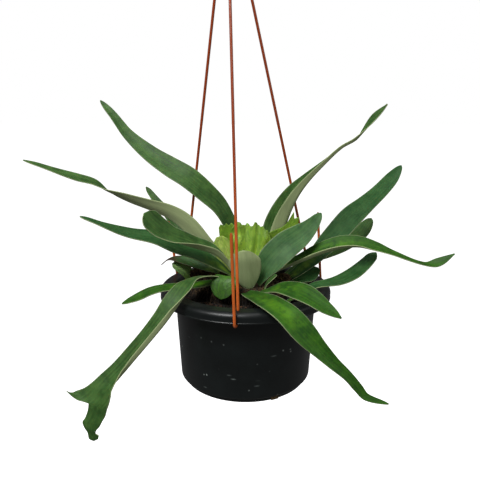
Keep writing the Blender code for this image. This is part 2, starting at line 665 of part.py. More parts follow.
def seated(grid):
    """Set the foot of a blade just clear of the mound, and lift what would cut into it."""
    grid = grid.copy()
    drop = clearance(grid[0], grid[1]) - 1.2 * GAP
    fade = np.clip(1 - np.linspace(0, 1, len(grid)) / 0.3, 0, 1) ** 1.5
    grid[:, :, 2] -= drop * fade[:, None]
    for i in range(1, len(grid) - 1):
        grid[i, :, 2] += max(0.0, 2 * GAP - clearance(grid[i], grid[i + 1]))
    return grid


def sheet(bm, grid):
    """A grid as triangles, so that both faces of the blade split alike."""
    rows = [[bm.verts.new(p) for p in row] for row in grid]
    for a, b in zip(rows, rows[1:]):
        for i in range(len(a) - 1):
            bm.faces.new((a[i], a[i + 1], b[i + 1]))
            bm.faces.new((a[i], b[i + 1], b[i]))


def blade(name, grids, colour, roughness):
    """One frond: its sheets joined edge to edge, then given their thickness."""
    def build(bm):
        for grid in grids:
            sheet(bm, grid)
        bmesh.ops.remove_doubles(bm, verts=bm.verts, dist=0.01)
    obj = mesh_object(name, build)
    thick = obj.modifiers.new("thickness", 'SOLIDIFY')
    thick.thickness = BLADE * MM
    thick.offset = 0.0
    obj.data.shade_smooth()
    return finish(obj, colour, roughness)


def stations(path):
    length = sum(math.dist(a[:3], b[:3]) for a, b in zip(path, path[1:]))
    return max(8, min(20, round(length / 13)))


for name, spec in FRONDS.items():
    grid = seated(blade_grid(spec, stations(spec["path"])))
    blade(name, [grid], (0.05, 0.14, 0.05), 0.5)


def between(first, last, share):
    return first + (last - first) * share


def palm_grids(stem, steps):
    """The palm past the stem and its two lobes, each lobe grown from half of the palm."""
    half = stem.shape[1] // 2
    shares = np.linspace(0.0, 1.0, half + 1)[:, None]
    start = np.concatenate([stem[-1][half], stem[-1][-1], stem[-1][0]])
    rows = along([tuple(start)] + FORK_PALM, 2 * steps)
    palm = []
    for row in rows:
        middle, left, right = row[:3], row[3:6], row[6:]
        palm.append(np.concatenate([between(right, middle, shares)[:-1],
                                    between(middle, left, shares)]))
    palm = np.array(palm)
    palm[0] = stem[-1]
    end = palm[-1]
    grids = [palm]
    for path, part in ((FORK_LOWER, end[:half + 1]), (FORK_UPPER, end[half:])):
        first = tuple(np.concatenate([part[0], part[-1]]))
        rows = along([first] + path, steps * (len(path) + 1) // 2)
        grids.append(np.array([between(row[:3], row[3:], shares) for row in rows]))
    return grids


stem = seated(blade_grid(FORKED, 16, 8))
blade("frond_forked", [stem] + palm_grids(stem, 3), (0.05, 0.14, 0.05), 0.5)

for name, spec in SHIELDS.items():
    grid = seated(blade_grid(spec, 9, 2 * len(spec["edge"])))
    blade(name, [grid], (0.27, 0.45, 0.06), 0.55)
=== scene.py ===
import math
import random

import bmesh
import bpy
import numpy as np
from mathutils import Matrix, Vector, noise
from mathutils.bvhtree import BVHTree


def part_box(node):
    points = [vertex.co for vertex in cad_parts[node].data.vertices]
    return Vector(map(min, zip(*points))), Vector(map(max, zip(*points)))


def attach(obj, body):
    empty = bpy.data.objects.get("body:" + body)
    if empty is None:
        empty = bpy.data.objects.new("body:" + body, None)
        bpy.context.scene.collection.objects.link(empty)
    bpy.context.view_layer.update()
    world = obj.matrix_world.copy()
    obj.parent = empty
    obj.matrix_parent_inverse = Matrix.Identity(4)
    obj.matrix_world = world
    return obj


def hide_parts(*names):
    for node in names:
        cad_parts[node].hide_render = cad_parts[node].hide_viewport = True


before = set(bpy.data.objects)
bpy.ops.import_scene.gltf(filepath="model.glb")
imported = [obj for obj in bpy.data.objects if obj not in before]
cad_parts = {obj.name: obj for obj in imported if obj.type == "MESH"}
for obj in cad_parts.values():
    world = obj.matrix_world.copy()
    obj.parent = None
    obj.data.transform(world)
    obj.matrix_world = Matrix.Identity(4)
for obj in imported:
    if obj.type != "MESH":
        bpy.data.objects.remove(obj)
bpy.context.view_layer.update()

MM = 0.001

# ------------ Camera
# The camera stands in front of the pot and a little above its rim, looking down at it. Every
# piece is measured in millimetres from the centre of that rim.
EYE = (-6.4, -640.0, 208.0)
EYE_PITCH = 13.6               # degrees below level
pot_low, pot_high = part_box("pot")
RIM = Vector(((pot_low.x + pot_high.x) / 2, (pot_low.y + pot_high.y) / 2, pot_high.z))
RIM_RADIUS = (pot_high.x - pot_low.x) / 2 / MM
POT_HEIGHT = (pot_high.z - pot_low.z) / MM


def new_object(name, data):
    made = bpy.data.objects.new(name, data)
    bpy.context.scene.collection.objects.link(made)
    return made


camera_data = bpy.data.cameras.new("camera")
camera_data.lens = 42.45
camera_data.sensor_width = 36.0
camera_data.clip_start = 0.01
camera = new_object("camera", camera_data)
camera.location = RIM + Vector(EYE) * MM
camera.rotation_euler = (math.radians(90.0 - EYE_PITCH), 0.0, 0.0)
bpy.context.scene.camera = camera


# ------------ Pot
# A nursery pot of black polypropylene, injection moulded in one piece. A broad lip is turned down
# into a band, which stiffens it, and the wall steps in to a narrower foot with drain holes.
# The finish is satin, scuffed by handling, with dust and dried specks of mix low on the wall.
LIP_WALL = 2.0
LIP_DEPTH = 12.0
LIP_EDGE = 6.0                 # radius of the lip's outer edge
BEAD = 0.9                     # radius of the bead at the foot of the band
CORNER = 4.0                   # radius of the inner corners
WALL_TOP = 82.5
WALL_FOOT = 77.5
FLOOR = 4.0                    # height of the floor inside
FOOT_RADIUS = 72.0
WIRE_RING = 88.0
WIRE_RADIUS = 1.6
WIRE_ANGLES = (-5.5, 113.5, -121.5)
DRAIN_RING = 45.0
DRAIN_HOLES = 6


def around_pot(angle, radius, height):
    """A point at an angle from the front, towards +X."""
    turned = math.radians(angle)
    return Vector((radius * math.sin(turned), -radius * math.cos(turned), height))


def linear(code):
    """A colour written as sRGB hex, turned to linear."""
    values = [int(code[i:i + 2], 16) / 255 for i in (1, 3, 5)]
    straight = [v / 12.92 if v <= 0.04045 else ((v + 0.055) / 1.055) ** 2.4 for v in values]
    return (*straight, 1.0)


def feed(node, inputs):
    """Feed inputs, by name or in their order: a number, a hex colour, an output or a node."""
    for key, value in inputs.items() if isinstance(inputs, dict) else enumerate(inputs):
        if isinstance(value, bpy.types.Node):
            value = next(output for output in value.outputs if output.enabled)
        if isinstance(value, bpy.types.NodeSocket):
            node.id_data.links.new(value, node.inputs[key])
        else:
            node.inputs[key].default_value = linear(value) if isinstance(value, str) else value
    return node


def add(tree, kind, inputs=(), stops=(), **settings):
    """Add a shader node with its settings, what feeds it and a colour ramp's stops."""
    made = tree.nodes.new("ShaderNode" + kind)
    for key, value in settings.items():
        setattr(made, key, value)
    for number, (place, code) in enumerate(stops):
        elements = made.color_ramp.elements
        stop = elements[number] if number < 2 else elements.new(place)
        stop.position = place
        stop.color = linear(code)
    return feed(made, inputs)


def blank_material(name, constants):
    """A new material and its Principled shader, with constants on the shader's own sockets."""
    material = bpy.data.materials.new(name)
    material.use_nodes = True
    tree = material.node_tree
    return material, tree, feed(tree.nodes["Principled BSDF"], constants)


def object_mm(tree, across=1000.0, up=1000.0):
    """Object coordinates in millimetres, or drawn out along the height."""
    where = add(tree, "TexCoord").outputs["Object"]
    return add(tree, "Mapping", {"Vector": where, "Scale": (across, across, up)})


def finish_piece(obj, slot, *nodes):
    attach(obj, "root")
    if nodes:
        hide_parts(*nodes)


def piece_from(name, bm, *materials):
    """A piece from a bmesh in millimetres about the rim's centre."""
    bmesh.ops.transform(bm, verts=bm.verts,
                        matrix=Matrix.Translation(RIM) @ Matrix.Scale(MM, 4))
    data = bpy.data.meshes.new(name)
    bm.to_mesh(data)
    bm.free()
    for material in materials:
        data.materials.append(material)
    return new_object(name, data)


def smooth_but_for(mesh, angle):
    """Shade a mesh smooth, but for edges sharper than an angle in degrees."""
    mesh.shade_smooth()
    mesh.set_sharp_from_angle(angle=math.radians(angle))


def applied(obj):
    """The mesh that an object's modifiers or curve bevel give."""
    bpy.context.view_layer.update()
    graph = bpy.context.evaluated_depsgraph_get()
    return bpy.data.meshes.new_from_object(obj.evaluated_get(graph))


def carved(obj, tools, operation='DIFFERENCE'):
    """Apply one Boolean for each tool and remove the tools."""
    for tool in tools:
        modifier = obj.modifiers.new(tool.name, 'BOOLEAN')
        modifier.object = tool
        modifier.operation = operation
    data = applied(obj)
    obj.modifiers.clear()
    obj.data = data
    for tool in tools:
        bpy.data.objects.remove(tool, do_unlink=True)


def rod(name, centre, radius, length):
    bm = bmesh.new()
    bmesh.ops.create_cone(bm, cap_ends=True, segments=24, radius1=radius, radius2=radius,
                          depth=length, matrix=Matrix.Translation(centre))
    return piece_from(name, bm)


def spun(profile, steps):
    """A turned form from a half section of (radius, height) points, from axis to axis."""
    bm = bmesh.new()
    verts = [bm.verts.new((r, 0.0, z)) for r, z in profile]
    edges = [bm.edges.new(pair) for pair in zip(verts, verts[1:])]
    bmesh.ops.spin(bm, geom=verts + edges, cent=(0, 0, 0), axis=(0, 0, 1), angle=math.tau,
                   steps=steps, use_merge=True)
    bmesh.ops.remove_doubles(bm, verts=bm.verts, dist=0.001)
    bmesh.ops.recalc_face_normals(bm, faces=bm.faces)
    return bm


def arc(centre, radius, start, end, steps):
    """Points on an arc of a section, in degrees from the outward direction."""
    turns = np.radians(np.linspace(start, end, steps))
    return [(centre[0] + radius * math.cos(t), centre[1] + radius * math.sin(t)) for t in turns]


inner = WALL_TOP - LIP_WALL
floor_top = FLOOR - POT_HEIGHT
pot_section = [
    # The floor and the wall inside, from the middle out and up.
    (0.0, floor_top), (WALL_FOOT - 8.0, floor_top),
    *arc((WALL_FOOT - 7.0, floor_top + CORNER), CORNER, -80, -10, 5),
    (inner, -LIP_DEPTH), (inner, -CORNER),
    *arc((inner + CORNER, -CORNER), CORNER, 172, 90, 8),
    # The lip, its band and bead, and back up behind the band.
    (90.0, 0.0), *arc((RIM_RADIUS - LIP_EDGE, -LIP_EDGE), LIP_EDGE, 88, 4, 12),
    (RIM_RADIUS - 0.6, -LIP_DEPTH + 2.2),
    *arc((RIM_RADIUS - BEAD, -LIP_DEPTH + BEAD), BEAD, 60, -90, 9),
    (RIM_RADIUS - LIP_WALL, -LIP_DEPTH), (RIM_RADIUS - LIP_WALL, -3.5),
    (RIM_RADIUS - 4.0, -2.0), (WALL_TOP + 2.5, -2.0), (WALL_TOP, -4.5),
    # The wall outside, its step to the foot, and the underside.
    (WALL_TOP, -LIP_DEPTH - 2.0), (WALL_FOOT + 0.1, -POT_HEIGHT + 11.0),
    *arc((WALL_FOOT - 2.9, -POT_HEIGHT + 9.6), 2.9, 0, -80, 7),
    *arc((FOOT_RADIUS + 2.2, -POT_HEIGHT + 5.8), 0.9, 95, 170, 4),
    *arc((FOOT_RADIUS - 3.7, -POT_HEIGHT + 5.0), 5.0, 0, -90, 10),
    (FOOT_RADIUS - 12.0, -POT_HEIGHT), (FOOT_RADIUS - 13.5, -POT_HEIGHT + 1.5),
    (0.0, -POT_HEIGHT + 1.5)]

# Moulded polypropylene has a satin skin with soft highlights. Handling has clouded them, in
# patches of about 30 mm.
pp_black, tree, shader = blank_material("satin_polypropylene",
                                        {"IOR": 1.49, "Specular IOR Level": 0.36})
where = object_mm(tree)
cloud = add(tree, "TexNoise", {"Vector": where, "Scale": 0.03, "Detail": 4.0, "Roughness": 0.6})
black = add(tree, "ValToRGB", (cloud,), ((0.3, "#0C0F0F"), (0.72, "#141919")))
# Dried specks of mix and short scuffs, in patches low on the wall. They are laid on the wall as if
# it were unrolled, round it by its height.
parts = add(tree, "SeparateXYZ", (where,)).outputs
round_it = add(tree, "Math", (parts["Y"], parts["X"]), operation='ARCTAN2')
round_it = add(tree, "Math", (round_it, (WALL_TOP + WALL_FOOT) / 2), operation='MULTIPLY')
unrolled = add(tree, "CombineXYZ", {"X": round_it, "Y": parts["Z"]})
foot_z = pot_low.z / MM
low_down = add(tree, "MapRange", (parts["Z"], foot_z + 45.0, foot_z + 95.0, 1.0, 0.0))
patchy = add(tree, "TexNoise", {"Vector": unrolled, "Scale": 0.035})
marked = add(tree, "MapRange", (patchy, 0.44, 0.56))
marked = add(tree, "Math", (marked, low_down), operation='MULTIPLY')
for stretch, low, high, colour in (((0.09, 0.09, 1.0), 0.03, 0.12, "#949B97"),
                                   ((0.035, 0.13, 1.0), 0.02, 0.13, "#6E7673")):
    laid = add(tree, "Mapping", {"Vector": unrolled, "Scale": stretch})
    cells = add(tree, "TexVoronoi", {"Vector": laid, "Scale": 1.0})
    tiny = add(tree, "MapRange", (cells, low, high, 1.0, 0.0))
    tiny = add(tree, "Math", (tiny, marked), operation='MULTIPLY')
    black = add(tree, "Mix", {0: tiny, 6: black, 7: colour}, data_type='RGBA')
rough = add(tree, "MapRange", (cloud, 0.25, 0.75, 0.3, 0.44))
# The mould leaves a fine orange-peel grain, drawn at 0.9 mm so that it just shows.
grain = add(tree, "TexNoise", {"Vector": where, "Scale": 1.1})
relief = add(tree, "Bump", {"Height": grain, "Strength": 0.12, "Distance": 0.0002})
feed(shader, {"Base Color": black, "Roughness": rough, "Normal": relief})

pot = piece_from("moulded_pot", spun(pot_section, steps=160), pp_black)
drills = [rod("wire_hole", around_pot(angle, WIRE_RING, 0.0),
              radius=WIRE_RADIUS + 0.6, length=12.0) for angle in WIRE_ANGLES]
for number in range(DRAIN_HOLES):
    turned = math.radians(360 / DRAIN_HOLES * number + 30)
    centre = Vector((math.cos(turned), math.sin(turned), 0.0)) * DRAIN_RING
    centre.z = -POT_HEIGHT
    drills.append(rod("drain_hole", centre, radius=4.0, length=20.0))
carved(pot, drills)
smooth_but_for(pot.data, angle=38)
finish_piece(pot, "pot_plastic", "pot")


# ------------ Hanger
# Three stiff strands of burnt orange plastic, pushed up into the boss of a moulded hook. Each one
# drops through the top of the lip, turns out under the band and springs up again outside it, so
# the pot's weight locks it. The ends were snipped, then rounded by heat.
LEG_TOPS = ((-15, -102.5, 85), (89, 42, 78), (-96, 56, 64))
BOSS_BASE = Vector((-18.5, 0.0, 412.0))
BOSS_RADIUS = 8.0
BOSS_HEIGHT = 22.0
SOCKET_RING = 4.4
SOCKET_DEPTH = 14.0
HOOK_RADIUS = 15.0
HOOK_NECK = 10.0
HOOK_WIRE = 2.6
WIRE_ROWS = 260                # rows of a smooth curve
HOOK_ROWS = 110

# Drawn strand is glossy and lets a little light into its surface. The die leaves faint streaks
# along it, 1 mm wide and some 15 mm long.
orange, tree, shader = blank_material("gloss_polypropylene_orange", {
    "IOR": 1.49, "Roughness": 0.3, "Coat Weight": 0.15, "Subsurface Weight": 0.12,
    "Subsurface Radius": (1.0, 0.35, 0.1), "Subsurface Scale": 0.0012})
streaks = object_mm(tree, 900.0, 60.0)
drawn = add(tree, "TexNoise", {"Vector": streaks, "Scale": 1.0, "Detail": 3.0})
# Painted shade: the strands are darker towards the top; down by the pot they are bright.
height = add(tree, "SeparateXYZ", (object_mm(tree),)).outputs["Z"]
shade_towards_top = add(tree, "MapRange", (height, RIM.z / MM + 20.0, RIM.z / MM + 170.0),
            interpolation_type='SMOOTHSTEP')
bright = add(tree, "ValToRGB", (drawn,), ((0.3, "#BC561A"), (0.7, "#D66C2C")))
shade = add(tree, "Mix", {0: shade_towards_top, 6: bright, 7: "#8E380E"}, data_type='RGBA')
relief = add(tree, "Bump", {"Height": drawn, "Strength": 0.15, "Distance": 0.0001})
feed(shader, {"Base Color": shade, "Normal": relief})


def along(rows, count):
    """Rows of numbers read off a smooth curve through the given rows, at even steps."""
    rows = np.array(rows, float)
    step = np.linalg.norm(np.diff(rows[:, :3], axis=0), axis=1)
    at = np.concatenate([[0.0], np.cumsum(step)])
    slope = np.empty_like(rows)
    slope[1:-1] = (rows[2:] - rows[:-2]) / (at[2:] - at[:-2])[:, None]
    slope[0] = (rows[1] - rows[0]) / step[0]
    slope[-1] = (rows[-1] - rows[-2]) / step[-1]
    wanted = np.linspace(0.0, at[-1], count)
    i = np.clip(np.searchsorted(at, wanted, side='right') - 1, 0, len(rows) - 2)
    h = (at[i + 1] - at[i])[:, None]
    u = (wanted - at[i])[:, None] / h
    return ((2 * u**3 - 3 * u**2 + 1) * rows[i] + (u**3 - 2 * u**2 + u) * h * slope[i]
            + (3 * u**2 - 2 * u**3) * rows[i + 1] + (u**3 - u**2) * h * slope[i + 1])


def wire_route(angle, leg_top):
    """Centre line of one wire: out of the boss, down through the lip, under its band and up."""
    foot = around_pot(angle, WIRE_RING, 1.0)
    socket = BOSS_BASE + around_pot(angle, SOCKET_RING, 0.0)
    route = [socket + Vector((0, 0, SOCKET_DEPTH - 0.3)), socket + Vector((0, 0, -2.0))]
    neck = socket + Vector((0, 0, -8.0)) + (foot - socket).normalized() * 3.0
    route += [neck + (foot - neck) * t for t in (0.0, 0.02, 0.25, 0.5, 0.75, 0.98, 1.0)]
    under = -LIP_DEPTH - WIRE_RADIUS - 0.3
    outside = RIM_RADIUS + WIRE_RADIUS + 0.9
    bend = ((0.0, WIRE_RING, -7.0), (0.0, WIRE_RING + 1.0, under + 3.2),
            (0.2, WIRE_RING + 3.6, under + 0.7), (0.5, WIRE_RING + 7.0, under),
            (0.9, outside - 3.2, under), (1.1, outside - 0.9, under + 0.9),
            (1.2, outside, under + 3.4))
    route += [around_pot(angle - aside, r, z) for aside, r, z in bend]
    start = route[-1]
    route += [start + (Vector(leg_top) - start) * t for t in (0.1, 0.4, 0.7, 1.0)]
    return route


def strands(name, routes, material, resolution=6):
    """Round strands as one piece, each a list of (x, y, z, radius) rows."""
    data = bpy.data.curves.new(name, 'CURVE')
    data.dimensions = '3D'
    data.bevel_depth = 1.0
    data.bevel_resolution = resolution
    data.use_fill_caps = True
    for route in routes:
        spline = data.splines.new('POLY')
        spline.points.add(len(route) - 1)
        for place, (x, y, z, radius) in zip(spline.points, route):
            place.co = (x, y, z, 1.0)
            place.radius = radius
    curve = new_object(name, data)
    bm = bmesh.new()
    bm.from_mesh(applied(curve))
    bpy.data.objects.remove(curve, do_unlink=True)
    bmesh.ops.remove_doubles(bm, verts=bm.verts, dist=0.005)
    bmesh.ops.recalc_face_normals(bm, faces=bm.faces)
    made = piece_from(name, bm, material)
    smooth_but_for(made.data, angle=50)
    return made


for side, angle, leg_top in zip(("front", "right", "left"), WIRE_ANGLES, LEG_TOPS):
    route = along([(*p, WIRE_RADIUS) for p in wire_route(angle, leg_top)], WIRE_ROWS)
    route[-2:, 3] = (0.93 * WIRE_RADIUS, 0.6 * WIRE_RADIUS)
    strand = strands(f"hanger_strand_{side}", [route], orange)
    finish_piece(strand, "hanger_plastic", f"wire_{side}")

boss_top = BOSS_BASE + Vector((0, 0, BOSS_HEIGHT))
bend_centre = boss_top + Vector((0, 0, HOOK_NECK + HOOK_RADIUS))
route = [boss_top + Vector((0, 0, -3.0)), boss_top + Vector((0, 0, 4.0)),
         boss_top + Vector((2.0, 0, 8.0))]
for t in np.radians(np.linspace(-62, 196, 19)):
    route.append(bend_centre + Vector((math.cos(t), 0, math.sin(t))) * HOOK_RADIUS)
route = along([(*p, HOOK_WIRE) for p in route], HOOK_ROWS)
route[-3:, 3] = (0.97 * HOOK_WIRE, 0.85 * HOOK_WIRE, 0.5 * HOOK_WIRE)
hook = strands("moulded_hook", [route], orange, resolution=8)
boss_section = [
    (0.0, 0.0), (BOSS_RADIUS - 1.0, 0.0), *arc((BOSS_RADIUS - 1.0, 1.0), 1.0, -60, 0, 4),
    (BOSS_RADIUS, BOSS_HEIGHT - 2.0),
    *arc((BOSS_RADIUS - 2.0, BOSS_HEIGHT - 2.0), 2.0, 20, 90, 5), (0.0, BOSS_HEIGHT)]
bm = spun(boss_section, steps=48)
bmesh.ops.translate(bm, verts=bm.verts, vec=BOSS_BASE)
carved(hook, [piece_from("boss", bm, orange)], 'UNION')
carved(hook, [rod("socket", BOSS_BASE + around_pot(angle, SOCKET_RING, 0.0),
                  radius=WIRE_RADIUS + 0.3, length=2 * SOCKET_DEPTH) for angle in WIRE_ANGLES])
smooth_but_for(hook.data, angle=40)
finish_piece(hook, "hanger_plastic", "hook")


# ------------ Potting mix
# Bark and coir potting mix, damp and nearly black, filled to a finger's width under the rim. Its
# top is rough with crumbs of bark and a few pale bits, seen best at the front inside the lip.
MIX_TOP = -14.0
CRUMBS = 900
CHUNKS = 60
MOUND_CENTRE = (-4.0, 6.0)
MOUND_SIZE = (62.0, 42.0)


def fractal(point, scale, octaves=3):
    """Noise from -1 to 1 at a point in millimetres, its coarsest lumps the given size."""
    return noise.fractal(Vector(point) / scale, 0.6, 2.1, octaves)


def bits(bm, tone, rng, count, place, sizes, squash):
    """Scatter angular bits, each a jittered cube or small sphere with its own tone."""
    for number in range(count):
        if number % 3:
            made = bmesh.ops.create_cube(bm, size=1.6)["verts"]
        else:
            made = bmesh.ops.create_icosphere(bm, subdivisions=1, radius=1.0)["verts"]
        size = rng.uniform(*sizes)
        stretch = Vector((rng.uniform(0.7, 1.5), rng.uniform(0.5, 1.0),
                          squash * rng.uniform(0.5, 1.0))) * size
        turn = Matrix.Rotation(rng.uniform(0, math.tau), 3, 'Z')
        turn = turn @ Matrix.Rotation(rng.uniform(-0.6, 0.6), 3, 'X')
        at = Vector(place(rng))
        shade = rng.random()
        for v in made:
            jitter = Vector([rng.uniform(0.75, 1.15) for _ in range(3)])
            v.co = at + turn @ Vector([c * j * k for c, j, k in zip(v.co, jitter, stretch)])
            v[tone] = shade


# Damp bark is matt and nearly black, in crumbs of 2 mm. Only those that have dried on top are
# brown.
mix_bark, tree, shader = blank_material("damp_bark_mix",
                                        {"Roughness": 0.9, "Specular IOR Level": 0.3})
tone = add(tree, "Attribute", attribute_name="tone").outputs["Fac"]
crumb = add(tree, "TexNoise", {"Vector": object_mm(tree), "Scale": 0.5, "Detail": 6.0,
                               "Roughness": 0.7})
both = add(tree, "Math", (tone, crumb), operation='MULTIPLY')
shade = add(tree, "ValToRGB", (both,),
            ((0.05, "#0B0908"), (0.3, "#16100C"), (0.46, "#38251A"), (0.64, "#7A5538")))
relief = add(tree, "Bump", {"Height": crumb, "Strength": 0.7, "Distance": 0.0008})
feed(shader, {"Base Color": shade, "Normal": relief})

mix_wall = inner - 0.6
mix_foot = WALL_FOOT - LIP_WALL - 1.8
section = [
    (0.0, floor_top + 0.3), (mix_foot - 6.0, floor_top + 0.3), (mix_foot, floor_top + 5.0),
    (mix_wall, MIX_TOP - 2.5),
    *[(r, MIX_TOP) for r in np.arange(mix_wall - 0.5, 1.0, -1.8)], (0.0, MIX_TOP)]
bm = spun(section, steps=180)
tone = bm.verts.layers.float.new("tone")
for v in bm.verts:
    v[tone] = 0.25
    if v.co.z > MIX_TOP - 1.0:
        v.co.z += 1.4 * fractal(v.co, 9.0, 4) - 0.6
        v[tone] = 0.3 + 0.3 * fractal(v.co, 5.0)


def from_mound(x, y):
    """How far a point is from the mound's middle, with its edge at 1."""
    return math.hypot((x - MOUND_CENTRE[0]) / MOUND_SIZE[0], (y - MOUND_CENTRE[1]) / MOUND_SIZE[1])


def on_mix(rng):
    """A place on the mix between the mound and the wall, more of them at the front."""
    while True:
        x = rng.uniform(-78, 78)
        y = rng.uniform(-78, 78)
        beyond = math.hypot(x, y) < 76 and from_mound(x, y) > 0.93
        if beyond and rng.random() < 0.75 - y / 200:
            return (x, y, MIX_TOP + rng.uniform(-0.6, 0.9))


bits(bm, tone, random.Random(4), CRUMBS, on_mix, sizes=(0.7, 2.1), squash=0.7)
bits(bm, tone, random.Random(5), CHUNKS, on_mix, sizes=(2.2, 4.2), squash=0.6)
finish_piece(piece_from("bark_mix", bm, mix_bark), "potting_mix", "potting_mix")


# ------------ Root mound
# The fern's own root mass: a low dome of brown matted roots and coir, with dry remains of old
# shields standing up from it as crumbly brown blocks. Wiry roots run over it in all directions.
MOUND_BASE = -20.0
MOUND_EDGE = -13.0
MOUND_RISE = 26.0
LOOSE_ROOTS = 520
BLOCK_ROOTS = 26               # on each block
FOOT_ROOTS = 24
ROOT_STEP = 2.2
DAMP = RIM.z / MM - 12.0       # height of the damp mix, in the materials' coordinates
# Place, radius and squash of each block.
BLOCKS = (((-51, 22, 0), 8.5, 0.9), ((-44, 12, 0), 8.0, 0.8), ((40, 18, -1), 7.0, 0.9),
          ((-54, 6, -6), 7.0, 0.7), ((34, -16, -5), 6.0, 0.7), ((50, -4, -8), 6.0, 0.7),
          ((46, 1, 3), 9.5, 0.95), ((-57, 26, 3), 10.5, 0.95), ((-45, 24, 5), 9.5, 0.9))


def mound_height(x, y):
    """Top of the root mound over a point, or of the mix beyond it."""
    spread = from_mound(x, y)
    if spread >= 1.0:
        return MIX_TOP
    dome = MOUND_EDGE + MOUND_RISE * (1 - spread * spread) ** 0.5
    lumps = math.sin(x * 0.31 + 1.0) * math.sin(y * 0.37) + 0.6 * math.sin(x * 0.62 - y * 0.55)
    return dome + 1.1 * lumps * (1 - spread ** 4)


root_brown, tree, shader = blank_material("matted_root_fibre",
                                          {"Roughness": 0.95, "Specular IOR Level": 0.2})
where = object_mm(tree)
clump = add(tree, "TexNoise", {"Vector": where, "Scale": 0.16, "Detail": 7.0, "Roughness": 0.75})
# Matted fibre is dull and rough, in clumps of 6 mm. Its strands are drawn 1 mm thick, so that they
# just show. What stands clear of the dome is paler: partly as it is dry, partly painted light.
height = add(tree, "SeparateXYZ", (where,)).outputs["Z"]
dried = add(tree, "MapRange", (height, DAMP, DAMP + 24.0, -0.12, 0.14))
clump = add(tree, "Math", (clump, dried))
shade = add(tree, "ValToRGB", (clump,),
            ((0.34, "#0E0A07"), (0.5, "#241A10"), (0.62, "#4C3B24"), (0.76, "#86704A")))
fibre = add(tree, "TexNoise", {"Vector": where, "Scale": 0.9, "Detail": 5.0})
relief = add(tree, "Bump", {"Height": fibre, "Strength": 0.9, "Distance": 0.0012})
feed(shader, {"Base Color": shade, "Normal": relief})

section = [(0.0, MOUND_BASE), (0.98, MOUND_BASE), (1.0, MOUND_EDGE),
           *[(k, 0.0) for k in np.linspace(0.98, 0.02, 40)], (0.0, 0.0)]
bm = spun(section, steps=150)
for v in bm.verts:
    on_top = v.co.z > -1.0
    v.co.x = MOUND_CENTRE[0] + MOUND_SIZE[0] * v.co.x
    v.co.y = MOUND_CENTRE[1] + MOUND_SIZE[1] * v.co.y
    if on_top:
        v.co.z = mound_height(v.co.x, v.co.y) + 1.3 * fractal((v.co.x, v.co.y, 0), 7.0, 4)
for at, size, squash in BLOCKS:
    for v in bmesh.ops.create_icosphere(bm, subdivisions=4, radius=1.0)["verts"]:
        rough = 1.0 + 0.22 * fractal(v.co * 9 + Vector(at), 5.0, 4)
        v.co = Vector(at) + Vector((v.co.x, v.co.y, v.co.z * squash)) * size * rough
mound = piece_from("root_mass", bm, root_brown)
mound.data.shade_smooth()
finish_piece(mound, "root_fibre", "root_mound")


def apart(tree, value, middle):
    """How far a value is from a given one, either way."""
    gap = add(tree, "Math", (value, middle), operation='SUBTRACT')
    return add(tree, "Math", (gap,), operation='ABSOLUTE')


# Dry roots are dull. They are dark where they lie on the damp mix, and paler the further they
# reach from it.
wiry_root, tree, shader = blank_material("dry_wiry_root", {"Roughness": 0.8})
where = object_mm(tree)
age = add(tree, "TexNoise", {"Vector": where, "Scale": 0.12, "Detail": 3.0})
height = add(tree, "SeparateXYZ", (where,)).outputs["Z"]
dried = add(tree, "MapRange", (apart(tree, height, DAMP), 0.0, 60.0, -0.12, 0.12))
age = add(tree, "Math", (age, dried))
shade = add(tree, "ValToRGB", (age,),
            ((0.35, "#17100A"), (0.5, "#3A2C1C"), (0.7, "#846A42")))
feed(shader, {"Base Color": shade})

draw = random.Random(21)
roots = []
for number in range(LOOSE_ROOTS):
    x = MOUND_CENTRE[0] + MOUND_SIZE[0] * draw.uniform(-1, 1)
    y = MOUND_CENTRE[1] + MOUND_SIZE[1] * draw.uniform(-1, 1)
    heading = draw.uniform(0, math.tau)
    lift = draw.uniform(0.0, 1.6)
    radius = draw.uniform(0.18, 0.5)
    route = []
    for step in range(9):
        bow = math.sin(math.pi * step / 8) * lift
        route.append((x, y, mound_height(x, y) + bow, radius))
        heading += draw.uniform(-0.5, 0.5)
        x += ROOT_STEP * math.cos(heading)
        y += ROOT_STEP * math.sin(heading)
    if math.hypot(x, y) < 74:
        roots.append(route)
for at, size, squash in BLOCKS:
    for number in range(BLOCK_ROOTS):
        turned = draw.uniform(0, math.tau)
        steep = draw.uniform(0.0, 1.3)
        out = Vector((math.cos(turned) * math.cos(steep), math.sin(turned) * math.cos(steep),
                      math.sin(steep) * squash))
        start = Vector(at) + out * size * 0.95
        lean = Vector((draw.uniform(-1, 1), draw.uniform(-1, 1), draw.uniform(-0.6, 0.8)))
        route = [(*(start + (out * 0.9 + lean) * t * 1.1), 0.3 - 0.05 * t) for t in range(5)]
        roots.append(route)
# A few root ends have grown out below and curl up against the foot, at the front right.
for number in range(FOOT_ROOTS):
    turned = draw.uniform(23.5, 30.0)
    rise = draw.uniform(3.0, 8.0)
    roots.append([(*around_pot(turned + draw.uniform(-0.6, 0.6) * t, FOOT_RADIUS + 0.2 + 0.8 * t,
                               1.0 - POT_HEIGHT + rise * t / 3), 0.6 - 0.06 * t)
                  for t in range(4)])
finish_piece(strands("wiry_roots", roots, wiry_root, resolution=0), "root_fibre")


# ------------ Strap fronds
# The fertile fronds: leathery green straps that rise from the mound and arch out over the pot,
# cupped along their middle. Their undersides and margins wear a pale grey felt of fine hairs.
BLADE = 0.9                    # thickness of a frond
FOOT_SINK = 2.0                # how far a foot goes into the mound
LIFT = 0.6                     # least height of the rest over the ground
ABOVE = 200.0                  # a height clear of every foot
ROW_STEP = 2.2                 # spacing of a blade's rows

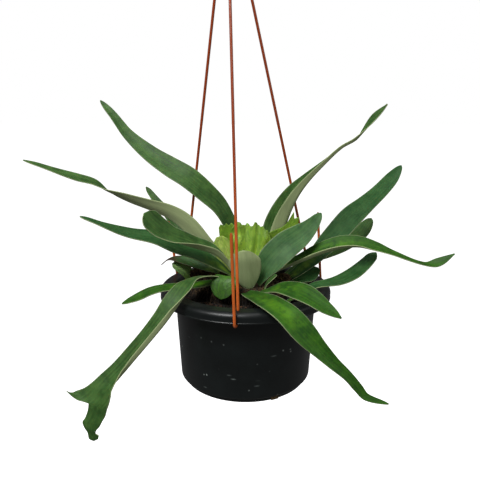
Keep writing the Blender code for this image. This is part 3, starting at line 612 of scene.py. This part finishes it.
# Each path runs from foot to tip: x, y, z, width and turn. The turn, in degrees, rolls the blade
# about its own run. "cup" lifts both margins, by 9 degrees unless given, and "lap" = (side, start,
# degrees...) rolls one of them up and over. "wave" is their flutter, in millimetres, and "blunt"
# the share of the length in which the tip rounds off. "heading" says which way the blade grows, in
# degrees from +X, where its path does not.
FRONDS = {
    "tall_left": {"wave": 0.6, "path": [
        (-3, 26, 20, 9, 20), (-9, 26, 40, 16, 26), (-18, 25, 67, 21, 32), (-30, 22, 88, 24, 38),
        (-47, 18, 106, 26, 46), (-67, 20, 123, 27, 52), (-87, 27, 134, 26, 54),
        (-113, 39, 149, 21, 54), (-141, 53, 171, 14, 54), (-160, 61, 194, 10, 54),
        (-176, 68, 211, 7, 54)]},
    "long_left": {"wave": 0.8, "path": [
        (-22, 19, 16, 9, -40), (-34, 20, 34, 16, -55), (-51, 22, 50, 21, -66),
        (-70, 26, 67, 24, -66), (-91, 32, 79, 23, -62), (-116, 38, 87, 20, -56),
        (-143, 42, 95, 17, -42), (-167, 44, 103, 16, -16), (-184, 44, 114, 15, 12),
        (-203, 44, 120, 15, 20), (-246, 40, 135, 10, 20), (-265, 38, 142, 5, 20)]},
    "rear_left": {"cup": 12, "path": [
        (-37, 34, 17, 9, 20), (-64, 58, 31, 12, 30), (-87, 76, 51, 12, 34), (-103, 88, 70, 12, 36),
        (-116, 96, 83, 10, 40), (-131, 106, 100, 6, 40)]},
    "flat_left": {"cup": 10, "wave": 0.6, "path": [
        (-15, -4, 12, 10, 10), (-27, -8, 22, 19, 18), (-46, -11, 34, 26, 26),
        (-64, -12, 43, 27, 30), (-81, -17, 51, 27, 32), (-100, -22, 60, 25, 30),
        (-127, -30, 67, 18, 26), (-153, -38, 78, 12, 22), (-178, -45, 90, 6, 22)]},
    "upturned_left": {"cup": 10, "lap": (-1, 0.4, 60, 78, 80, 70, 40, 5, 0), "path": [
        (-8, -17, 19, 9, 20), (-22, -22, 35, 18, 26), (-38, -28, 47, 26, 29),
        (-53, -34, 54, 28, 31), (-66, -42, 61, 29, 35), (-80, -48, 68, 29, 42),
        (-92, -52, 78, 28, 50), (-102, -56, 89, 26, 56), (-107, -58, 96, 20, 56)]},
    "short_left": {"cup": 10, "path": [
        (-31, -13, 0, 7, 10), (-41, -22, 5, 11, 12), (-56, -32, 8, 13, 14), (-73, -40, 9, 14, 15),
        (-92, -46, 9, 14, 15), (-105, -48, 6, 15, 15), (-119, -50, 0, 14, 15),
        (-136, -53, -6, 5, 15)]},
    "dry_tip": {"cup": 25, "path": [
        (-28, 10, 11, 10, 20), (-49, 18, 14, 15, 25), (-68, 26, 18, 17, 25), (-85, 34, 20, 12, 20),
        (-96, 40, 18, 6, 10), (-105, 42, 11, 3, 0)]},
    "tall_right": {"cup": 12, "lap": (1, 0.36, 30, 100, 118, 118, 110, 90, 60, 40, 10, 0),
                   "path": [
        (22, 26, 13, 14, -35), (33, 27, 34, 42, -58), (41, 25, 55, 54, -60), (47, 19, 77, 47, -58),
        (57, 8, 102, 34, -56), (69, -1, 121, 23, -46), (86, -10, 141, 15, -30),
        (105, -16, 160, 11, -10), (119, -20, 169, 10, 0), (127, -22, 179, 11, -25),
        (137, -24, 193, 11, -46), (149, -27, 207, 4, -50)]},
    "broad_right": {"wave": 0.5, "blunt": 0.14, "path": [
        (47, 8, 9, 10, -20), (66, 13, 18, 15, -26), (88, 22, 32, 22, -30), (108, 36, 48, 28, -34),
        (131, 52, 69, 29, -36), (153, 66, 84, 24, -36), (173, 80, 98, 21, -36),
        (191, 92, 114, 18, -36), (204, 100, 129, 14, -36)]},
    "rear_right": {"cup": 10, "blunt": 0.16, "path": [
        (44, 30, 4, 9, -20), (74, 46, 14, 12, -24), (105, 64, 19, 15, -28), (132, 84, 26, 19, -30),
        (155, 100, 38, 20, -30), (172, 113, 56, 19, -30)]},
    "long_right": {"lap": (1, 0.5, 15, 55, 78, 80, 72, 45, 12, 0, 0), "path": [
        (19, -4, 8, 11, -10), (43, -4, 20, 15, -16), (64, -4, 30, 20, -24), (86, -6, 41, 24, -32),
        (109, -8, 49, 25, -38), (129, -10, 51, 21, -43), (149, -14, 47, 16, -44),
        (169, -18, 41, 10, -30), (202, -24, 31, 7, -20), (216, -26, 33, 11, -46),
        (234, -28, 44, 4, -46)]},
    "wide_right": {"cup": 8, "wave": 0.5, "path": [
        (12, -20, 4, 9, -40), (18, -20, 18, 20, -45), (30, -18, 35, 32, -50),
        (46, -14, 50, 33, -50), (62, -8, 60, 28, -50), (75, -2, 70, 19, -50),
        (88, 6, 84, 7, -50)]},
    "young_front": {"cup": 16, "heading": -90, "blunt": 0.3, "path": [
        (4, -27, 0, 8, 0), (2, -32, 14, 26, 0), (0, -36, 28, 36, 0), (-2, -39, 40, 36, 0),
        (-3, -39, 51, 30, 0)]},
    "front_long": {"heading": -50, "wave": 0.6, "path": [
        (0, -30, -3, 12, -8), (7, -48, 1, 18, -10), (17, -70, 5, 22, -12), (27, -92, 7, 25, -14),
        (41, -109, 2, 27, -18), (56, -117, -12, 26, -20), (71, -120, -28, 19, -20),
        (86, -122, -43, 14, -20), (101, -122, -57, 11, -20), (112, -122, -70, 10, -20),
        (121, -123, -80, 8, -18), (143, -126, -86, 5, -16)]},
    "front_short": {"wave": 0.5, "path": [
        (12, -30, 2, 8, -8), (27, -47, 9, 16, -14), (42, -63, 15, 24, -20), (57, -76, 15, 25, -24),
        (70, -88, 11, 22, -24), (81, -96, 5, 16, -22), (96, -104, -3, 4, -22)]},
    "curved_right": {"cup": 10, "path": [
        (46, -28, 2, 8, -5), (68, -32, 7, 12, -8), (87, -28, 8, 15, -10), (106, -20, 9, 18, -16),
        (124, -10, 14, 19, -22), (139, 0, 22, 17, -26), (150, 6, 31, 14, -26),
        (155, 8, 36, 9, -26)]},
    "small_right": {"path": [
        (54, 2, 2, 8, -20), (66, 8, 3, 13, -30), (78, 14, 6, 18, -35), (89, 22, 13, 8, -35)]},
    "small_front": {"path": [
        (21, -27, 4, 5, -10), (24, -28, 9, 7, -15), (29, -30, 15, 7, -20), (35, -29, 20, 4, -20)]},
}


def frond_green(name, deep, light, heart_colour_and_highlight, glow_from=0.0, glow_to=0.0, brown_from=2.0):
    """Leathery frond skin: lengthwise streaks between two greens, a paler heart between two
    shares of the length that is partly a painted highlight, a pale margin, and dry brown past
    a share of the length."""
    material, tree, shader = blank_material(name, {
        "Specular IOR Level": 0.2, "Sheen Weight": 0.03, "Subsurface Weight": 0.1,
        "Subsurface Scale": 0.001})
    share = add(tree, "UVMap", uv_map="blade_share")
    share = add(tree, "SeparateXYZ", (share,)).outputs
    # Streaks 2 mm wide and 50 mm long, and mottling in patches of about 12 mm.
    in_mm = add(tree, "UVMap", uv_map="blade_mm")
    stretched = add(tree, "Mapping", {"Vector": in_mm, "Scale": (0.5, 0.02, 1.0)})
    streak = add(tree, "TexNoise", {"Vector": stretched, "Scale": 1.0, "Detail": 5.0,
                                    "Roughness": 0.6})
    mottle = add(tree, "TexNoise", {"Vector": object_mm(tree), "Scale": 0.08, "Detail": 4.0,
                                    "Roughness": 0.6})
    both = add(tree, "Math", (streak, mottle))
    both = add(tree, "MapRange", (both, 0.8, 1.2))
    green = add(tree, "Mix", {0: both, 6: deep, 7: light}, data_type='RGBA')
    # The heart of the blade is paler in patches: partly its younger tissue, partly a painted
    # highlight.
    middle = apart(tree, share["X"], 0.5)
    crosswise = add(tree, "MapRange", (middle, 0.08, 0.42, 1.0, 0.0),
                    interpolation_type='SMOOTHSTEP')
    span = max(0.05, (glow_to - glow_from) / 2)
    off = apart(tree, share["Y"], (glow_from + glow_to) / 2)
    lengthwise = add(tree, "MapRange", (off, 0.3 * span, span, 0.85 if glow_to else 0.0, 0.0),
                     interpolation_type='SMOOTHSTEP')
    heart = add(tree, "Math", (crosswise, lengthwise), operation='MULTIPLY')
    patches = add(tree, "MapRange", (mottle, 0.36, 0.66))
    heart = add(tree, "Math", (heart, patches), operation='MULTIPLY')
    # Dry tips are brown, with a ragged edge to the green. The margin shows the felt below it.
    ragged = add(tree, "Math", (streak, share["Y"]))
    dry = add(tree, "MapRange", (ragged, brown_from + 0.46, brown_from + 0.56))
    edge = add(tree, "MapRange", (middle, 0.46, 0.5, 0.0, 0.45))
    for part, colour in ((heart, heart_colour_and_highlight), (dry, "#3A2A1E"), (edge, "#A9B48F")):
        green = add(tree, "Mix", {0: part, 6: green, 7: colour}, data_type='RGBA')
    rough = add(tree, "MapRange", (streak, 0.3, 0.7, 0.46, 0.62))
    relief = add(tree, "Bump", {"Height": streak, "Strength": 0.5, "Distance": 0.0006})
    feed(shader, {"Base Color": green, "Roughness": rough, "Normal": relief})
    return material


def frond_felt(name, pale, deep):
    """The underside: a dense felt of star-shaped hairs, matt and grey over green. The hairs are
    drawn at 0.6 mm, far coarser than they are, so that the felt just shows."""
    material, tree, shader = blank_material(name, {
        "Roughness": 0.9, "Specular IOR Level": 0.2, "Sheen Weight": 0.1})
    in_mm = add(tree, "UVMap", uv_map="blade_mm")
    stretched = add(tree, "Mapping", {"Vector": in_mm, "Scale": (0.4, 0.03, 1.0)})
    streak = add(tree, "TexNoise", {"Vector": stretched, "Scale": 1.0, "Detail": 6.0,
                                    "Roughness": 0.65})
    shade = add(tree, "Mix", {0: streak, 6: deep, 7: pale}, data_type='RGBA')
    hairs = add(tree, "TexNoise", {"Vector": object_mm(tree), "Scale": 1.6})
    relief = add(tree, "Bump", {"Height": hairs, "Strength": 0.35, "Distance": 0.0003})
    feed(shader, {"Base Color": shade, "Normal": relief})
    return material


def blade_grid(spec, count, across):
    """Points of a blade, foot to tip by margin to margin, in millimetres."""
    path = spec["path"]
    rows = along(path, count)
    s = np.linspace(0.0, 1.0, count)
    centre = rows[:, :3]
    blunt = spec.get("blunt", 0.07)
    ending = np.clip((s - 1 + blunt) / blunt, 0.0, 1.0)
    width = rows[:, 3]
    if "edge" not in spec and "open" not in spec:
        width = width * np.sqrt(1 - ending**2)
    width = np.maximum(width, 1.5 * BLADE)
    turned = np.radians(rows[:, 4])
    # Narrow stretches stay flat and still.
    slack = np.clip(width / 8.0 - 0.2, 0.0, 1.0)
    cup = math.radians(spec.get("cup", 9)) * slack
    side, start, *laps = spec.get("lap", (1, 0.5, 0, 0))
    lap = np.radians(np.interp(s, np.linspace(0, 1, len(laps)), laps)) * slack

    run = np.array(path[-1][:2], float) - np.array(path[0][:2], float)
    heading = math.radians(spec.get("heading", math.degrees(math.atan2(run[1], run[0]))))
    level = np.array([math.sin(heading), -math.cos(heading), 0.0])
    tangent = np.gradient(centre, axis=0)
    tangent /= np.linalg.norm(tangent, axis=1)[:, None]
    flat = level - (tangent @ level)[:, None] * tangent
    flat /= np.linalg.norm(flat, axis=1)[:, None]
    upper = np.cross(flat, tangent)
    out = flat * np.cos(turned)[:, None] + upper * np.sin(turned)[:, None]
    face = upper * np.cos(turned)[:, None] - flat * np.sin(turned)[:, None]

    half = across // 2
    wave = spec.get("wave", 0.0)
    grid = np.empty((count, across + 1, 3))
    grid[:, half] = centre
    for sign in (1, -1):
        sideways = np.zeros(count)
        lifted = np.zeros(count)
        for j in range(half):
            share = (j + 0.5) / half
            angle = cup * min(1.0, share / 0.35)
            if sign == side:
                angle = angle + lap * np.clip((share - start + 0.1) / 0.2, 0.0, 1.0)
            sideways = sideways + sign * np.cos(angle) * width / (2 * half)
            lifted = lifted + np.sin(angle) * width / (2 * half)
            phase = 0.6 if sign > 0 else 2.7
            flutter = wave * np.minimum(1, 4 * s) * slack
            ripple = flutter * ((j + 1) / half) ** 2 * np.sin(19 * s + phase)
            grid[:, half + sign * (j + 1)] = (centre + out * sideways[:, None]
                                              + face * (lifted + ripple)[:, None])
    # Pleats run up a shield and deepen towards its upper edge.
    if "pleats" in spec:
        depth, folds = spec["pleats"]
        phase = math.tau * folds * (np.arange(across + 1) / across - 0.13)
        grid += face[:, None] * (depth * np.outer(s, np.sin(phase)))[:, :, None]
    # A column of points is shortened to where the upper edge cuts it off.
    if "edge" in spec:
        for j in range(across + 1):
            at = s * np.interp(j / across, *zip(*spec["edge"])) * (count - 1)
            i = np.minimum(at.astype(int), count - 2)
            part = (at - i)[:, None]
            column = grid[:, j].copy()
            grid[:, j] = column[i] * (1 - part) + column[i + 1] * part
    return grid


# The plain mound and mix under the fine ones, to find how high the ground is under a blade.
ground_points = []
ground_faces = []
for name in ("root_mound", "potting_mix"):
    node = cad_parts[name]
    first = len(ground_points)
    ground_points += [(node.matrix_world @ v.co - RIM) / MM for v in node.data.vertices]
    ground_faces += [[first + i for i in face.vertices] for face in node.data.polygons]
ground = BVHTree.FromPolygons(ground_points, ground_faces)


def clearance(row, following):
    """Least height over the ground of a row of a blade, its thickness counted."""
    edge = np.gradient(row, axis=0)
    normal = np.cross(following - row, edge)
    normal *= BLADE / 2 / np.linalg.norm(normal, axis=1)[:, None]
    heights = []
    for point in (*(row + normal), *(row - normal)):
        hit = ground.ray_cast(Vector((point[0], point[1], ABOVE)), Vector((0, 0, -1)))[0]
        if hit is not None:
            heights.append(point[2] - hit.z)
    return min(heights, default=ABOVE)


def seated(grid):
    """Set the foot of a blade just clear of the mound, and lift what would cut into it."""
    grid = grid.copy()
    drop = clearance(grid[0], grid[1]) + FOOT_SINK
    fade = np.clip(1 - np.linspace(0, 1, len(grid)) / 0.3, 0, 1) ** 1.5
    grid[:, :, 2] -= drop * fade[:, None]
    for i in range(1, len(grid) - 1):
        grid[i, :, 2] += max(0.0, LIFT - clearance(grid[i], grid[i + 1]))
    return grid


def blade(name, grids, length, upper, under, slot, node):
    """One frond from its grids, joined edge to edge, green above and felted below. Each grid
    comes with its share of the whole length, as (start, end)."""
    bm = bmesh.new()
    in_mm = bm.loops.layers.uv.new("blade_mm")
    in_share = bm.loops.layers.uv.new("blade_share")
    for grid, (start, end) in grids:
        count, across = grid.shape[0], grid.shape[1] - 1
        width = np.linalg.norm(np.diff(grid, axis=1), axis=2).sum(axis=1)
        made = bmesh.ops.create_grid(bm, x_segments=across, y_segments=count - 1, size=1.0)
        for v in made["verts"]:
            j = round((v.co.x + 1) / 2 * across)
            i = round((v.co.y + 1) / 2 * (count - 1))
            v.co = grid[i, j]
            share = start + (end - start) * i / (count - 1)
            for loop in v.link_loops:
                loop[in_mm].uv = ((j / across - 0.5) * width[i], share * length)
                loop[in_share].uv = (j / across, share)
    bmesh.ops.remove_doubles(bm, verts=bm.verts, dist=0.01)
    obj = piece_from(name, bm, upper, under)
    thick = obj.modifiers.new("thickness", 'SOLIDIFY')
    thick.thickness = BLADE * MM
    thick.offset = 0.0
    thick.material_offset = thick.material_offset_rim = 1
    obj.data.shade_smooth()
    finish_piece(obj, slot, node)


def length_of(path):
    return sum(math.dist(a[:3], b[:3]) for a, b in zip(path, path[1:]))


felt = frond_felt("grey_felted_underside", "#A9B684", "#7C8B5E")
dry_felt = frond_felt("dry_brown_underside", "#5A4632", "#382A1E")
mid_green = frond_green("leathery_mid_green", "#2A4A1C", "#46692F", "#7E9C34", -0.18, 0.18)
blue_green = frond_green("leathery_blue_green", "#2C5228", "#466C3A", "#6C9A66")
dark_green = frond_green("leathery_dark_green", "#204A1E", "#365E2E", "#7C9E30", -0.26, 0.26)
bright_green = frond_green("leathery_bright_green", "#1C4408", "#346212", "#4E7E10", 0.0, 0.6)
dry_green = frond_green("dry_tipped_green", "#28461E", "#3A5C2C", "#86A430", -0.3, 0.3, 0.7)
FINISH = {
    "wide_right": blue_green, "dry_tip": dry_green,
    **dict.fromkeys(("broad_right", "curved_right", "small_right", "flat_left"), dark_green),
    **dict.fromkeys(("long_right", "front_long", "front_short", "short_left"), bright_green)}
for name, spec in FRONDS.items():
    length = length_of(spec["path"])
    grid = seated(blade_grid(spec, count=max(24, round(length / ROW_STEP)), across=20))
    upper = FINISH.get(name, mid_green)
    under = dry_felt if upper is dry_green else felt
    blade(f"strap_{name}", [(grid, (0.0, 1.0))], length, upper, under, "frond_green",
          f"frond_{name}")


# ------------ Forked frond
# The one frond that has forked, as staghorns do with age: a single blade down to the fork, where
# each half runs on as a lobe of its own. It hangs over the lip at the left. "open" leaves the end
# of the stem at full width, for the palm.
FORKED = {"cup": 8, "lap": (-1, 0.5, 0, 0, 0, 10, 60, 105, 115, 115, 105, 80, 20), "open": True,
          "path": [
    (-16, -19, 8, 9, 0), (-28, -25, 15, 13, -10), (-44, -36, 20, 14, -14), (-58, -52, 21, 14, -4),
    (-66, -65, 16, 20, 32), (-75, -77, 5, 25, 36), (-87, -84, -12, 25, 28),
    (-102, -86, -31, 24, 25), (-119, -88, -51, 24, 25), (-134, -91, -68, 25, 25),
    (-146, -93, -80, 27, 25)]}
# Past the stem, x, y, z of two or three lines: the middle, left and right of the palm, then the
# right and left margins of each lobe.
FORK_PALM = [(-154, -95, -88, -165, -86, -83, -141, -106, -89),
             (-160, -96, -96, -174, -85, -90, -143, -106, -97),
             (-167, -97, -102, -183, -84, -94, -146, -105, -105)]
FORK_UPPER = [(-173, -95, -101, -187, -84, -96), (-180, -93, -100, -191, -84, -96),
              (-189, -88, -97, -194, -84, -94)]
FORK_LOWER = [(-148, -105, -112, -168, -98, -109), (-152, -105, -119, -171, -99, -117),
              (-155, -104, -125, -174, -100, -122), (-159, -104, -130, -172, -101, -128),
              (-160, -103, -134, -169, -101, -134), (-157, -103, -136, -168, -101, -141),
              (-158, -102, -141, -163, -101, -144)]


def between(first, last, share):
    return first + (last - first) * share


def palm_grids(stem, steps):
    """The palm past the stem and its two lobes, each lobe grown from half of the palm."""
    half = stem.shape[1] // 2
    shares = np.linspace(0.0, 1.0, half + 1)[:, None]
    start = np.concatenate([stem[-1][half], stem[-1][-1], stem[-1][0]])
    rows = along([tuple(start)] + FORK_PALM, 2 * steps)
    palm = []
    for row in rows:
        middle, left, right = row[:3], row[3:6], row[6:]
        palm.append(np.concatenate([between(right, middle, shares)[:-1],
                                    between(middle, left, shares)]))
    palm = np.array(palm)
    palm[0] = stem[-1]
    end = palm[-1]
    grids = [palm]
    for path, part in ((FORK_LOWER, end[:half + 1]), (FORK_UPPER, end[half:])):
        first = tuple(np.concatenate([part[0], part[-1]]))
        rows = along([first] + path, steps * (len(path) + 1) // 2)
        grids.append(np.array([between(row[:3], row[3:], shares) for row in rows]))
    return grids


STEM_SHARE = 0.78              # of the whole length
PALM_SHARE = 0.9               # up to where the lobes part
stem = seated(blade_grid(FORKED, count=110, across=24))
palm, lower, upper = palm_grids(stem, steps=14)
blade("forked_strap", [(stem, (0.0, STEM_SHARE)), (palm, (STEM_SHARE, PALM_SHARE)),
                       (lower, (PALM_SHARE, 1.0)), (upper, (PALM_SHARE, 1.0))],
      length_of(FORKED["path"]) / STEM_SHARE, mid_green, felt, "frond_green", "frond_forked")


# ------------ Shields
# The sterile fronds that wrap the root mound: short papery fans of bright lime green with a lobed
# upper edge and a raised net of darker veins. The old ones at the sides are smaller and greener.

# "edge" gives the upper edge, which is lobed and torn, as (share of the width, share of the full
# reach), and "pleats" the depth of the folds and their number.
SHIELDS = {
    "left": {"cup": 18, "heading": 90, "path": [
        (-13, 6, 12, 10, 0), (-20, 5, 27, 18, 0), (-26, 5, 41, 24, 0), (-31, 6, 56, 24, 0)],
        "edge": ((0, 0.7), (0.12, 0.88), (0.35, 1), (0.65, 1), (0.88, 0.9), (1, 0.75))},
    "back": {"cup": 14, "heading": 90, "path": [
        (-8, 12, 12, 10, 0), (-14, 12, 36, 18, 0), (-19, 12, 53, 22, 0), (-21, 11, 71, 22, 0)],
        "edge": ((0, 0.93), (0.12, 1), (0.3, 0.95), (0.42, 1), (0.55, 0.95), (0.7, 1), (1, 0.9))},
    "middle": {"cup": 10, "heading": 90, "wave": 2.0, "pleats": (2.0, 3.4), "path": [
        (4, 0, 12, 14, 0), (6, 0, 32, 36, 0), (8, 3, 52, 48, 0), (9, 8, 73, 52, 0)],
        "edge": ((0, 0.86), (0.07, 0.93), (0.13, 0.99), (0.2, 0.98), (0.25, 0.93), (0.28, 0.94),
            (0.32, 0.93), (0.36, 0.98), (0.4, 0.96), (0.45, 0.91), (0.5, 0.93), (0.54, 1),
            (0.58, 0.99), (0.61, 0.95), (0.64, 0.95), (0.68, 0.91), (0.72, 0.93), (0.79, 0.85),
            (0.84, 0.86), (0.87, 0.8), (0.93, 0.72), (1, 0.62))},
    "right": {"cup": 12, "heading": 90, "wave": 1.5, "path": [
        (23, 6, 10, 12, 0), (35, 8, 38, 29, 0), (44, 9, 61, 40, 0), (53, 7, 87, 45, 0)],
        "edge": ((0, 0.55), (0.25, 0.66), (0.42, 0.72), (0.52, 0.8), (0.58, 1), (0.66, 0.9),
            (0.76, 0.95), (0.82, 0.84), (0.9, 0.86), (1, 0.68))},
    "front": {"cup": -10, "heading": -115, "pleats": (0.5, 1.6), "path": [
        (-16, -27, 9, 12, 0), (-19, -35, 20, 26, 0), (-25, -41, 15, 31, 0), (-28, -45, -4, 28, 0)],
        "edge": ((0, 0.72), (0.12, 0.84), (0.22, 0.92), (0.36, 0.97), (0.5, 1), (0.64, 0.97),
            (0.8, 0.93), (0.9, 0.84), (1, 0.74))},
    "small": {"cup": 14, "path": [
        (-64, 22, -8, 9, 40), (-70, 27, 4, 14, 50), (-78, 32, 11, 17, 55), (-91, 37, 14, 16, 55)],
        "edge": ((0, 0.72), (0.2, 0.92), (0.5, 1), (0.8, 0.92), (1, 0.74))},
}


def shield_green(name, pale, deep, vein):
    """Thin papery shield skin, which light goes into: stripes between two greens, painted light
    and shade of folds, under a net of darker veins."""
    material, tree, shader = blank_material(name, {
        "Roughness": 0.55, "Subsurface Weight": 0.25, "Subsurface Radius": (0.5, 1.0, 0.15),
        "Subsurface Scale": 0.002})
    mottle = add(tree, "TexNoise", {"Vector": object_mm(tree), "Scale": 0.05, "Detail": 5.0,
                                    "Roughness": 0.6})
    # Painted light and shade of folds: soft stripes up the shield, one every few millimetres
    # across.
    share = add(tree, "UVMap", uv_map="blade_share")
    fanned = add(tree, "Mapping", {"Vector": share, "Scale": (11.0, 1.3, 1.0)})
    fold_shade_stripe = add(tree, "TexNoise", {"Vector": fanned, "Scale": 1.0, "Detail": 3.0,
                                    "Roughness": 0.55})
    base = add(tree, "Math", (mottle, fold_shade_stripe))
    base = add(tree, "MapRange", (base, 0.7, 1.25))
    green = add(tree, "Mix", {0: base, 6: deep, 7: pale}, data_type='RGBA')
    # Veins are about 6 mm apart, in uneven meshes drawn out along the shield.
    in_mm = add(tree, "UVMap", uv_map="blade_mm")
    wobble = add(tree, "TexNoise", {"Vector": in_mm, "Scale": 0.12, "Detail": 3.0})
    bent = add(tree, "VectorMath", {0: wobble.outputs["Color"], 1: (14.0, 14.0, 0.0), 2: in_mm},
               operation='MULTIPLY_ADD')
    meshes = add(tree, "Mapping", {"Vector": bent, "Scale": (0.17, 0.07, 1.0)})
    net = add(tree, "TexVoronoi", {"Vector": meshes, "Scale": 1.0}, feature='DISTANCE_TO_EDGE')
    lines = add(tree, "MapRange", (net, 0.0, 0.12, 1.0, 0.0))
    lines = add(tree, "Math", (lines, mottle), operation='MULTIPLY')
    # The lobed edge is the oldest part, and turns olive.
    reach = add(tree, "SeparateXYZ", (share,)).outputs["Y"]
    ageing = add(tree, "Math", (reach, fold_shade_stripe), operation='MULTIPLY')
    ageing = add(tree, "MapRange", (ageing, 0.4, 0.62, 0.0, 0.8))
    for part in (lines, ageing):
        green = add(tree, "Mix", {0: part, 6: green, 7: vein}, data_type='RGBA')
    relief = add(tree, "Bump", {"Height": lines, "Strength": 0.6, "Distance": 0.0006})
    feed(shader, {"Base Color": green, "Normal": relief})
    return material


lime = shield_green("papery_lime_shield", "#9CBE3A", "#5C881A", "#4A7014")
# Painted light: a paler copy of the lime for the left shield, which faces the light.
lit_lime = shield_green("papery_lime_shield_lit", "#BED06A", "#8CAA3C", "#5F8228")
moss_green = shield_green("papery_green_shield", "#467814", "#244A0C", "#1A380A")
deep_shield = shield_green("papery_dark_shield", "#86A844", "#4C7A24", "#38601C")
for name, spec in SHIELDS.items():
    grid = seated(blade_grid(spec, count=44, across=8 * len(spec["edge"])))
    skin = {"front": moss_green, "small": deep_shield, "left": lit_lime}.get(name, lime)
    blade(f"papery_shield_{name}", [(grid, (0.0, 1.0))], length_of(spec["path"]), skin, skin,
          "shield_lime", f"shield_{name}")


# ------------ Studio
# A plain white floor far below the hanging pot, white surroundings and four soft lights: a large
# one high at the front left and weaker ones at the right, overhead and behind.
FLOOR_REACH = 30000.0
FLOOR_DROP = 800.0             # from the pot down to the floor
PLANT_SHARE = 0.15             # of the white surroundings' light, for the plant

# Backlit white acrylic: its own glow keeps it white all over.
backlit_white, tree, shader = blank_material("white_backlit_floor", {
    "Base Color": "#F4F4F4", "Roughness": 0.9, "Emission Color": "#FFFFFF",
    "Emission Strength": 1.0})
bm = bmesh.new()
bmesh.ops.create_grid(bm, x_segments=1, y_segments=1, size=FLOOR_REACH)
bmesh.ops.translate(bm, verts=bm.verts, vec=(0.0, 0.0, -POT_HEIGHT - FLOOR_DROP))
studio_floor = piece_from("studio_floor", bm, backlit_white)
studio_floor.visible_diffuse = False
studio_floor.visible_glossy = False

bpy.context.scene.view_settings.view_transform = 'Standard'
world = bpy.data.worlds.new("white_surroundings")
bpy.context.scene.world = world
world.use_nodes = True
# The camera sees pure white all round, but the plant is lit by only a little of it, so the black
# pot stays dark against it.
sky = world.node_tree
seen = add(sky, "LightPath").outputs["Is Camera Ray"]
level = add(sky, "MapRange", (seen, 0.0, 1.0, PLANT_SHARE, 1.0))
feed(sky.nodes["Background"], {"Color": "#FFFFFF", "Strength": level})


def soft_light(name, place, size, power, shows=True):
    """A square light that faces the plant, and shows or not in glossy things."""
    data = bpy.data.lights.new(name, 'AREA')
    data.size = size
    data.energy = power
    lamp = new_object(name, data)
    lamp.location = RIM + Vector(place)
    lamp.rotation_euler = (-Vector(place)).to_track_quat('-Z', 'Y').to_euler()
    lamp.visible_glossy = shows


soft_light("front_light", (-0.7, -1.1, 1.5), size=0.7, power=38.0)
soft_light("side_light", (1.5, -0.7, 0.8), size=1.0, power=5.0)
soft_light("top_light", (0.1, -0.2, 1.6), size=1.0, power=5.0)
soft_light("back_light", (0.4, 1.7, 0.5), size=1.0, power=7.0, shows=False)
